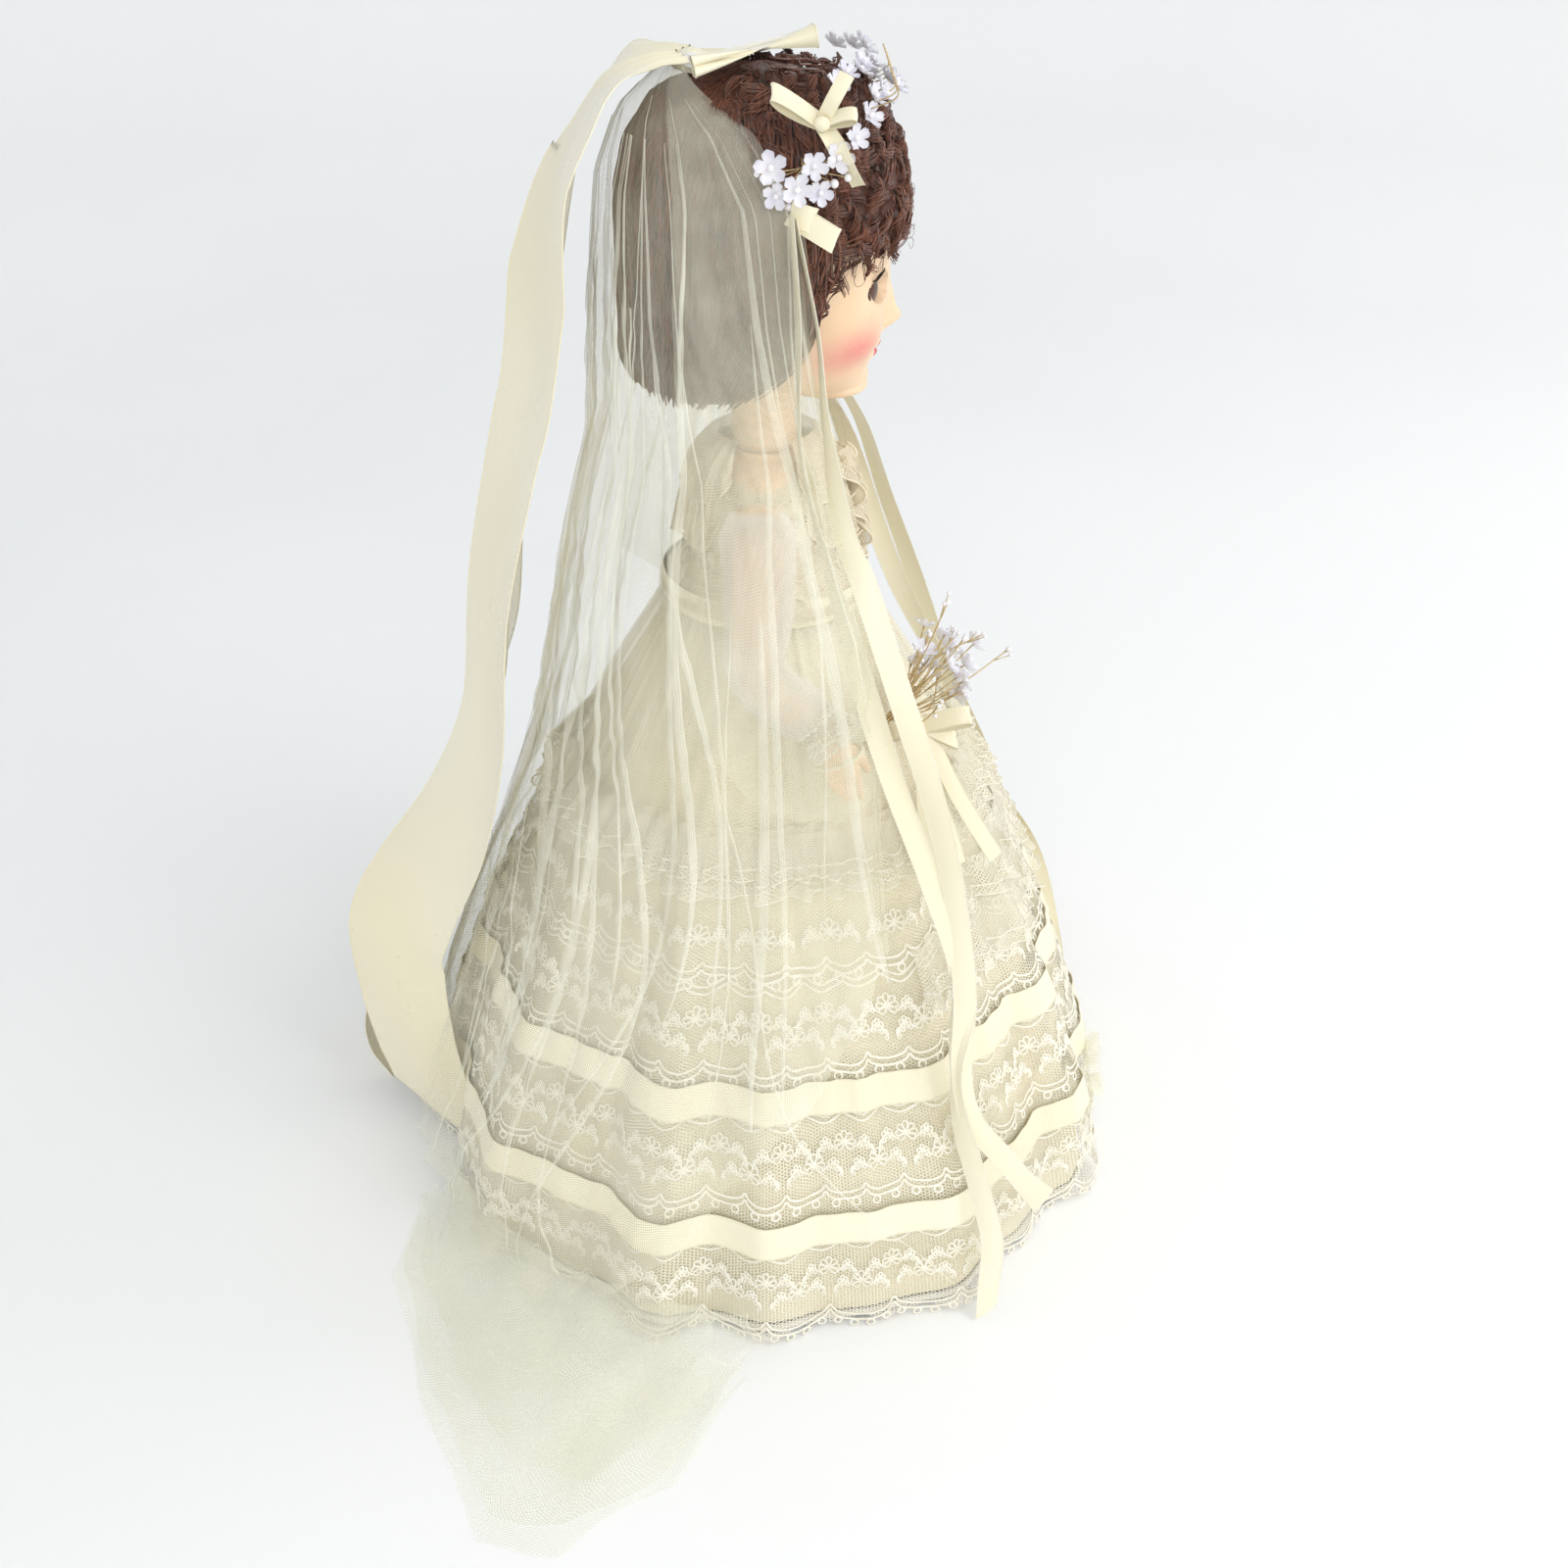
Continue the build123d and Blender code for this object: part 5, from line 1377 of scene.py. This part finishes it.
def build_hair():
    own = np.random.default_rng(23)
    angle = np.linspace(0, 2 * pi, 180, endpoint=False)
    z = np.concatenate([np.linspace(336, 425, 60), np.linspace(427, 439, 14)])[:, None]
    grid = section_point(WIG, angle[None, :], z, -2.6)
    front = np.sin(angle)[None, :] < -0.42
    hairline = 388 + 2.5 * np.sin(9 * angle)[None, :]
    lumps = 0.9 * waves(angle, (13, 17, 23), 5)[None, :] * np.cos(z / 7.0)
    outward = round_directions(angle)
    grid = grid + outward * lumps[:, :, None]
    faces = []
    for i in range(len(z) - 1):
        for j in range(180):
            if front[0, j] and z[i, 0] < hairline[0, j]:
                continue
            k = (j + 1) % 180
            faces.append((i * 180 + j, i * 180 + k, (i + 1) * 180 + k, (i + 1) * 180 + j))
    # The underlayer takes the darker hair material: painted shade between and under the curls.
    under = mesh_object("wig_underlayer", grid.reshape(-1, 3), faces)
    put(under, hair_shade_look, "head", "hair_auburn")

    # long waves down the back and the sides
    count, points = 950, 30
    start = own.uniform(-28, 208, count)
    lean = np.clip(own.normal(0, 6, count), -6, 6)
    t = np.linspace(0, 1, points)[None, :]
    top = own.uniform(425, 438, count)[:, None]
    low = own.uniform(334, 352, count)[:, None]
    height = top + (low - top) * t
    turn = np.radians(start[:, None] + lean[:, None] * t + own.uniform(1, 3, (count, 1)) * np.sin(
        14 * t + own.uniform(0, 2 * pi, (count, 1))
    ))
    lift = own.uniform(-2.4, 0.6, (count, 1)) + 0.7 * np.sin(11 * t + own.uniform(0, 6, (count, 1)))
    paths = section_point(WIG, turn, height, 0.0)
    paths += np.stack([np.cos(turn), np.sin(turn), 0 * turn], axis=-1) * lift[:, :, None]
    back = strand_object("wig_back_waves", paths, np.linspace(0.55, 0.34, points)[None, :])
    put(back, hair_look, "head", "hair_auburn", "wig_curls")

    # tight curls over the crown, the front and the temples
    coils = []
    clumps = 340
    while len(coils) < clumps:
        turn = radians(own.uniform(-200, 20))
        height = own.uniform(372, 437)
        sine = np.sin(turn)
        if sine < -0.62 and height < 385:
            continue
        if sine > -0.3 and height < 376:
            continue
        if sine > 0.1 and height < 424:
            continue
        coils.append((turn, height))
    turns = np.array([c[0] for c in coils])
    heights = np.array([c[1] for c in coils])
    centres = section_point(WIG, turns, heights, -1.6)
    outward = np.stack([np.cos(turns), np.sin(turns), 0.6 * (heights - 395) / 40], axis=-1)
    outward /= np.linalg.norm(outward, axis=1)[:, None]
    spin = pi / 2 + own.normal(0, 0.6, clumps)
    flat_a = np.cross(outward, (0, 0.0, 1.0)) + 1e-6
    flat_a /= np.linalg.norm(flat_a, axis=1)[:, None]
    flat_b = np.cross(outward, flat_a)
    axis = flat_a * np.cos(spin)[:, None] + flat_b * np.sin(spin)[:, None]
    cross = np.cross(axis, outward)
    per, points = 15, 22
    t = np.linspace(0, 1, points)[None, None, :]
    radius = own.uniform(1.8, 3.8, clumps)[:, None, None] + own.normal(0, 0.45, (clumps, per, 1))
    length = own.uniform(11, 20, clumps)[:, None, None]
    twist = own.uniform(0.8, 1.7, clumps)[:, None, None] * 2 * pi
    twist = twist * np.where(own.random(clumps) < 0.5, 1, -1)[:, None, None]
    phase = own.uniform(0, 2 * pi, clumps)[:, None, None] + own.normal(0, 0.5, (clumps, per, 1))
    fall = radius * (0.75 + 0.25 * np.sin(t * pi)) * (1 - 0.25 * t)
    a = (t - 0.5) * length + own.normal(0, 1.0, (clumps, per, 1))
    b, c = fall * np.cos(twist * t + phase), fall * np.sin(twist * t + phase)
    paths = (
        centres[:, None, None] + axis[:, None, None] * a[..., None]
        + outward[:, None, None] * (b * 0.8)[..., None] + cross[:, None, None] * c[..., None]
    ).reshape(-1, points, 3)
    paths = keep_hair_out(paths)
    curls = strand_object("wig_crown_curls", paths, np.linspace(0.26, 0.16, points)[None, :])
    put(curls, hair_look, "head", "hair_auburn", "wig_fringe")

    # loose single hairs that stand off the outline
    count, points = 240, 20
    turn = np.radians(own.uniform(-200, 20, count))
    height = own.uniform(380, 432, count)
    root = section_point(WIG, turn, height, -2.0)
    outward = np.stack([np.cos(turn), np.sin(turn), 0.7 * (height - 400) / 40], axis=-1)
    t = np.linspace(0, 1, points)[None, :, None]
    reach = own.uniform(1.5, 4.5, (count, 1, 1))
    curl = own.uniform(4, 9, (count, 1, 1))
    side = np.cross(outward, own.normal(0, 1, (count, 3)))
    side /= np.linalg.norm(side, axis=1)[:, None]
    other = np.cross(side, outward)
    paths = (
        root[:, None] + outward[:, None] * reach * np.sin(t * 2.2)
        + side[:, None] * 2.0 * np.sin(curl * t) + other[:, None] * 2.0 * (np.cos(curl * t) - 1)
    )
    loose = strand_object("wig_loose_hairs", keep_hair_out(paths), np.linspace(0.16, 0.06, points)[None, :])
    put(loose, hair_look, "head", "hair_auburn")


def keep_hair_out(paths):
    """Keeps hair off the face and inside the height of the wig."""
    x, y, z = paths[..., 0], paths[..., 1], paths[..., 2]
    floor = 381 + 3 * np.cos(x / 5.0)
    low = (y < -34) & (np.abs(x) < 30) & (z < floor)
    paths[..., 2] = np.where(low, floor + (floor - z) * 0.3, z)
    paths[..., 2] = np.minimum(paths[..., 2], np.where(y > -24, 438.5, 442.0))
    paths[..., 1] = np.maximum(paths[..., 1], -53.5)
    cheek = (y < -22) & (z < 374)
    return paths[~cheek.any(axis=1)]


# ---------------------------------------------------------------- arms, hands, sleeves and cuffs
SHOULDER = (49.6, 2.0, 288.0)
ELBOW = (58.0, 2.0, 244.0)
WRIST = (68.0, -22.0, 228.0)
KNUCKLES = (70.5, -28.0, 214.0)


def melted(pile, name, voxel, rounds):
    """One smooth skin over overlapping shapes."""
    rough = pile.object(name + "_rough")
    remesh = rough.modifiers.new("remesh", "REMESH")
    remesh.mode = "VOXEL"
    remesh.voxel_size = voxel * MM
    smooth = rough.modifiers.new("smooth", "SMOOTH")
    smooth.factor = 0.5
    smooth.iterations = rounds
    mesh = bpy.data.meshes.new_from_object(rough.evaluated_get(bpy.context.evaluated_depsgraph_get()))
    bpy.data.objects.remove(rough)
    mesh.name = name
    mesh.shade_smooth()
    obj = bpy.data.objects.new(name, mesh)
    scene.collection.objects.link(obj)
    return obj


def limb(pile, points, radii, count=40, sides=24):
    """Rounded limb through points whose radius changes smoothly."""
    path = smooth_path(points, count)
    own = np.concatenate([[0], np.cumsum(np.linalg.norm(np.diff(np.asarray(points, float), axis=0), axis=1))])
    radius = np.interp(np.linspace(0, own[-1], count), own, radii)
    tube(pile, path, radius, sides)
    ball(pile, path[0], radius[0], 11, sides)
    ball(pile, path[-1], radius[-1], 11, sides)


def hand(pile, sign):
    """Small moulded hand: palm, four fingers that curl inwards at their tips, and a thumb."""
    palm = [(sign * 68.4, -23, 226), (sign * 70.0, -26.5, 218), (sign * 70.6, -28, 213)]
    for spread, radius in ((-3.6, 3.0), (-1.2, 3.3), (1.4, 3.3), (3.8, 2.9)):
        points = [np.array(p) + (0, spread * (0.45 + 0.3 * i), -0.5 * i) for i, p in enumerate(palm)]
        limb(pile, points, [4.4, radius, radius * 0.9], 14, 14)
    for i, (y, length) in enumerate(((-4.6, 12.4), (-1.5, 14.4), (1.7, 13.6), (4.7, 10.6))):
        root = np.array((sign * 70.8, -28 + y, 213.5))
        bend = root + (sign * 1.6, -1.2, -length * 0.5)
        tip = root + (sign * -0.8, -3.0 - 0.3 * i, -length)
        limb(pile, [root, bend, tip], [1.9, 1.75, 1.35], 16, 12)
    thumb = [(sign * 68.0, -27, 222), (sign * 67.0, -34, 216.5), (sign * 66.6, -37.2, 210.5)]
    limb(pile, thumb, [2.9, 2.2, 1.6], 16, 12)


def build_arms():
    for name, sign in (("right", -1), ("left", 1)):
        points = [(sign * p[0], p[1], p[2]) for p in (SHOULDER, ELBOW, WRIST)]
        pile = Pile()
        limb(pile, points, [9.6, 7.4, 5.0], 60, 24)
        hand(pile, sign)
        arm = melted(pile, f"arm_{name}_skin", 0.62, 5)
        put(arm, skin_look, f"arm_{name}", "vinyl_skin", f"arm_{name}")

        sleeve = Pile()
        high = (sign * 44.5, 2.0, 301.0)
        path = smooth_path([high] + [(sign * 53.6, 1.8, 270)] + points[1:], 90)
        t = np.linspace(0, 1, len(path))
        turn = np.linspace(0, 2 * pi, 97)
        puff = 11.9 + 1.6 * np.sin(np.clip(t * 1.6, 0, 1) * pi) + 1.5 * np.exp(-(((t - 0.8) / 0.13) ** 2))
        puff = puff * np.clip(1.05 - 0.35 * t, 0, 1) - 3.4 * np.exp(-(((t - 1) / 0.05) ** 2))
        puff = puff - 2.6 * np.exp(-((t / 0.06) ** 2))
        fold = waves(turn, (7, 11, 13), 7 + sign, 1.2)[None, :] * (0.7 + 0.6 * np.cos(9 * t))[:, None]
        crease = 0.55 * np.sin(23 * t[:, None] + 3 * np.cos(turn)[None, :] + 2 * np.sin(2 * turn)[None, :])
        radius = puff[:, None] + fold * 0.75 + crease
        grid = path[:, None] + path_rings(path, turn) * radius[..., None]
        grid[:, :, 0] = sign * np.maximum(sign * grid[:, :, 0], 39.4)
        sleeve.grid(grid)
        cloth = sleeve.object(f"sleeve_{name}_tulle")
        put(cloth, sleeve_net, f"arm_{name}", "tulle", f"sleeve_{name}")

        cuff, edge = Pile(), Pile()
        axis = np.array(KNUCKLES) - np.array(ELBOW)
        axis = np.array([sign * axis[0], axis[1], axis[2]])
        axis /= np.linalg.norm(axis)
        a, b, _ = basis(axis)
        turn = np.linspace(0, 2 * pi, 181)
        frills = ((-5.5, 8.5, 6.0, 10.2, 4), (-1.0, 7.4, 6.4, 11.0, 9), (-9, 5, 6.2, 8.8, 13))
        for start, length, tight, wide, seed in frills:
            share = np.linspace(0, 1, 8)[:, None]
            flute = waves(turn, (9, 13, 17, 21), seed + sign)[None, :]
            spread = tight + (wide - tight) * share + 1.3 * flute * share
            along = start + length * share + 0.4 * flute * share
            root = np.array([sign * WRIST[0], WRIST[1], WRIST[2]])
            grid = (
                root + axis * along[..., None] + a * (spread * np.cos(turn))[..., None]
                + b * (spread * np.sin(turn))[..., None]
            )
            uv = np.stack(np.broadcast_arrays((turn * 12)[None, :], share * length), axis=2)
            cuff.grid(grid, uv=uv)
            tube(edge, grid[-1], 0.42, 5)
            tube(edge, grid[-3], 0.26, 4)
            for k in range(3, 170, 9):
                loop = [grid[7, k], grid[5, k + 1], grid[4, k + 3], grid[5, k + 5], grid[7, k + 6]]
                tube(edge, smooth_path(loop, 9), 0.26, 4)
        frill, rims = put_with_edges(
            cuff, edge, f"cuff_{name}_lace", f"cuff_{name}_edges", lace_net, lace_thread,
            f"arm_{name}", "lace", f"cuff_{name}",
        )


# ---------------------------------------------------------------- bouquet
BOUQUET = (-42.0, -62.0, 238.0)


def build_bouquet():
    own = np.random.default_rng(41)
    petals, beads, stems = Pile(), Pile(), Pile()
    centre = np.array(BOUQUET)
    gather = np.array([-55.0, -46.0, 226.0])
    places = [
        (0, 0, 2), (-9, -4, 7), (8, -3, 8), (0, -11, 2), (-1, -3, 15), (10, 3, -3), (-4, -8, -8), (-8, 5, 12),
        (5, -9, -6), (6, 4, 15), (-7, -10, -1), (3, -14, 9), (12, -6, 2),
    ]
    for place in places:
        spot = centre + place
        blossom(petals, beads, spot, spot - gather + own.normal(0, 4, 3), own.uniform(4.2, 5.4), own.uniform(0, 2))
        tube(stems, smooth_path([gather, (gather + spot) / 2 + own.normal(0, 1.5, 3), spot], 12), 0.28, 5)
    for _ in range(16):
        way = np.array([own.normal(0, 10), -6 + own.normal(0, 7), 6 + own.normal(0, 9)])
        spot = centre + way
        bend = (gather + spot) / 2 + own.normal(0, 2.5, 3)
        tube(stems, smooth_path([gather, bend, spot], 12), 0.26, 5)
        ball(beads, spot, own.uniform(0.8, 1.3))
        for _ in range(2):
            near = spot + own.normal(0, 2.0, 3)
            tube(stems, smooth_path([bend * 0.3 + spot * 0.7, near], 5), 0.18, 4)
            ball(beads, near, 0.75)
    put(petals.object("bouquet_petals"), blossom_look, "arm_right", "blossom", "bouquet_flowers")
    put(beads.object("bouquet_beads"), pearl_look, "arm_right", "blossom")
    route = [(-62.5, -36, 217), (-58, -42, 221.5), (-55, -46, 226), (-47, -56, 233)]
    handle = Pile()
    for k in range(6):
        turn = k * pi / 3 + np.linspace(0, 5, 40)
        path = smooth_path(route, 40)
        _, normal, side = path_frames(path)
        wound = path + normal * (1.1 * np.cos(turn))[:, None] + side * (1.1 * np.sin(turn))[:, None]
        tube(handle, wound, 0.6, 6)
    put(handle.object("bouquet_stems"), stem_look, "arm_right", "stem_wire")
    put(stems.object("bouquet_twigs"), stem_look, "arm_right", "stem_wire")
    a, b, _ = basis((-0.16, -0.35, -0.92))
    turn = np.linspace(0, 2 * pi, 73)
    loop = np.array((-69.6, -26.5, 217.5)) + (np.cos(turn)[:, None] * a + np.sin(turn)[:, None] * b) * 9.3
    band = Pile()
    tube(band, loop, 0.8, 8)
    put(band.object("bouquet_hand_loop"), satin, "arm_right", "satin", "bouquet_handle")

    bow, rims = Pile(), Pile()
    knot = np.array([-57.5, -58.0, 224.0])
    for tip, lift in (
        ((-60, -74, 229), (-2, 0, 3)), ((-58, -45, 221), (-3, 0, 3)), ((-57, -70, 217), (-2.5, 0, 2)),
        ((-60, -50, 231), (-2, 0, 2.5)),
    ):
        path = loop_path(knot, tip, lift, 30)
        satin_strip(bow, rims, path, np.tile([0.5, 0.25, 0.8], (30, 1)), 6.4, 5, 0.3, 0.14)
    for tip, sway in (((-80, -71, 178), 5), ((-70, -86, 174), -4), ((-88, -63, 163), 4)):
        middle = (knot + np.array(tip)) / 2 + (sway, 2, 2)
        path = smooth_path([knot, middle, tip], 40)
        satin_strip(bow, rims, path, np.tile([0.5, -0.8, 0.2], (40, 1)), 6.0, 5, 0.3, 0.14)
    tied, selvedge = put_with_edges(
        bow, rims, "bouquet_bow_satin", "bouquet_bow_selvedge", satin, satin, "arm_right", "satin", "bouquet_bow"
    )


# ---------------------------------------------------------------- the end of the veil on the floor
def build_train():
    pile = Pile()
    for layer, (spread, seed, high) in enumerate(((1.0, 3, 5.0), (0.9, 5, 7.0), (0.7, 8, 9.0))):
        rows, columns = 70, 110
        v = np.linspace(0, 1, rows)[:, None]
        u = np.linspace(0.05 * layer, 1 - 0.07 * layer, columns)[None, :]
        u = u + 0.035 * np.sin(7 * v + 2 * seed) + 0.018 * np.sin(17 * v + seed)
        turn = np.radians(116 + 62 * u)
        inner = np.stack([150 * np.cos(turn), 150 * np.sin(turn)], axis=2)
        outer_x = np.interp(u, [0, 0.15, 0.35, 0.55, 0.7, 0.85, 1], [-78, -118, -178, -236, -240, -212, -168])
        outer_y = np.interp(u, [0, 0.15, 0.35, 0.55, 0.7, 0.85, 1], [148, 150, 128, 98, 70, 34, 6])
        outer = np.stack([outer_x, outer_y], axis=2)
        flat = inner + (outer - inner) * (v * spread)[..., None]
        crumple = (
            0.55 + 0.45 * np.sin(19 * u + 3.1 * np.sin(4 * v + seed)) * np.cos(5 * v + 9 * u + seed)
        ) * high * (1 - 0.8 * v) * (0.35 + 0.65 * np.abs(np.sin(13 * u + seed + 2 * v)))
        edge = 14.0 * (1 - v) ** 3
        z = 0.8 + 0.5 * layer + crumple + edge
        shift = 3.0 * np.sin(31 * u + seed)[..., None] * v[..., None] * 0.5
        grid = np.concatenate([flat + shift, z[..., None]], axis=2)
        pile.grid(grid)
    train = pile.object("veil_train_net")
    put(train, train_net, "torso", "tulle", "veil_train")

    puff = Pile()
    own = np.random.default_rng(77)
    for _ in range(9):
        start = own.uniform(0, 6)
        turn = np.linspace(0, 2 * pi, 60)
        rows = []
        for share in np.linspace(0.2, 1.0, 8):
            size = (7 + 7 * share) * (1 + 0.22 * np.sin(5 * turn + start + 3 * share))
            rows.append(np.stack([
                -32 + 3 * cos(start) + size * np.cos(turn) * 0.9, -136 + size * np.sin(turn) * 0.55 - 2 * share,
                30 + (size * np.sin(turn + start) * 0.8) + 4 * share * np.cos(3 * turn + start),
            ], axis=-1))
        puff.grid(np.stack(rows))
    bunch = puff.object("veil_tulle_knot")
    put(bunch, veil_net, "torso", "tulle")


# ---------------------------------------------------------------- legs, stockings, shoes and underwear
HIP = (32.0, 0.0, 198.0)
KNEE = (28.5, -1.0, 110.0)
CALF = (27.5, 3.0, 80.0)
ANKLE = (26.0, 4.0, 30.0)
HEEL = (25.0, 7.0, 10.0)
TOE = (24.0, -19.0, 8.5)


def mirrored(points, sign):
    return [(sign * p[0], p[1], p[2]) for p in points]


def build_legs():
    for name, sign in (("right", -1), ("left", 1)):
        pile = Pile()
        shape = mirrored([HIP, (31, 0, 150), KNEE, CALF, ANKLE, HEEL], sign)
        limb(pile, shape, [12.2, 11.6, 9.2, 9.8, 6.4, 6.0], 90, 28)
        limb(pile, mirrored([HEEL, TOE], sign), [6.0, 5.2], 20, 20)
        leg = melted(pile, f"leg_{name}_skin", 0.9, 4)
        put(leg, skin_look, f"leg_{name}", "vinyl_skin", f"leg_{name}")

        sock = Pile()
        path = smooth_path(mirrored([(28.6, -1, 106), CALF, ANKLE, HEEL], sign), 60)
        path = path[path[:, 2] > 14]
        turn = np.linspace(0, 2 * pi, 61)
        radius = np.interp(path[:, 2], [14, 30, 80, 106], [7.0, 7.5, 10.9, 10.3])
        radius[:3] += 0.35
        slack = 0.16 * np.sin(path[:, 2] * 1.4)[:, None] * np.cos(3 * turn)[None, :]
        sock.grid(path[:, None] + path_rings(path, turn) * (radius[:, None] + slack)[..., None])
        sock_object = sock.object(f"stocking_{name}_knit")
        put(sock_object, cotton, f"leg_{name}", "cotton", f"stocking_{name}")


def build_underwear():
    angle = np.linspace(0, 2 * pi, 181)
    z = np.linspace(252, 196, 34)[:, None]
    t = (252 - z) / 56
    grid = section_point(TORSO, angle[None, :], np.maximum(z, 214), 1.2)
    grid[:, :, 2] = z + 0 * angle[None, :]
    outward = round_directions(angle)
    full = 5.0 * np.sin(np.clip(t, 0, 1) * pi) ** 0.8 + waves(angle, (21, 27, 34), 3)[None, :] * (0.5 + 0.5 * t)
    grid = grid + outward * full[..., None]
    pants = sheet_object("bloomers_cotton", grid)
    put(pants, cotton, "torso", "cotton", "bloomers")


# ---------------------------------------------------------------- nodes that keep their CAD shape
def plain_material(name, color, deep, roughness, scale, metallic=0.0):
    shader = Shader(name, color, roughness, Metallic=metallic)
    shader.mottle(scale, color, deep)
    rough = shader.ramp(shader.noise(shader.place(), scale * 2), 0.3, 0.7, roughness * 0.85, roughness * 1.1)
    shader.link(rough, "Roughness")
    shader.bump(shader.noise(shader.place(), scale * 8), 0.1, 0.0001)
    return shader.material


def dress_kept_nodes():
    steel = plain_material("hook_steel", (0.45, 0.45, 0.46), (0.30, 0.29, 0.28), 0.34, 300.0, 1.0)
    rubber = plain_material("strung_elastic", (0.75, 0.70, 0.60), (0.63, 0.57, 0.46), 0.75, 250.0)
    lead = plain_material("lead_weight", (0.28, 0.28, 0.30), (0.20, 0.20, 0.21), 0.55, 200.0, 0.8)
    shoe = plain_material("shoe_vinyl", (0.86, 0.85, 0.81), (0.80, 0.78, 0.72), 0.30, 90.0)
    cap = plain_material("wig_net", (0.12, 0.05, 0.03), (0.07, 0.03, 0.02), 0.8, 500.0)
    pate = plain_material("pate_card", (0.66, 0.52, 0.38), (0.58, 0.44, 0.31), 0.8, 120.0)
    kept = {
        "torso_shell": skin_look, "arm_elastic": rubber, "leg_elastic": rubber, "neck_hook": steel,
        "arm_hook_right": steel, "arm_hook_left": steel, "leg_hook_right": steel, "leg_hook_left": steel,
        "eye_rocker_bar": steel, "eye_weight": lead, "shoe_right": shoe, "shoe_left": shoe, "wig_cap": cap,
        "crown_pate": pate,
    }
    for name, material in kept.items():
        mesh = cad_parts[name].data
        mesh.materials.clear()
        mesh.materials.append(material)


# ---------------------------------------------------------------- the whole scene
add_camera()
add_world()
add_stage()
add_area_light("key", (-0.7, -1.1, 1.5), (0, 0, 0.2), 0.9, 9)
add_area_light("fill", (-1.5, -0.1, 0.8), (0, 0, 0.2), 0.9, 5)
add_area_light("front", (0.4, -1.4, 0.9), (0, 0, 0.2), 0.8, 4)

build_underwear()
build_gown_skirt()
build_bodice()
build_head()
build_eyes()
build_hair()
build_veil()
build_train()
build_bows()
build_headpiece()
build_streamers()
build_side_ribbons()
build_arms()
build_bouquet()
build_legs()
dress_kept_nodes()
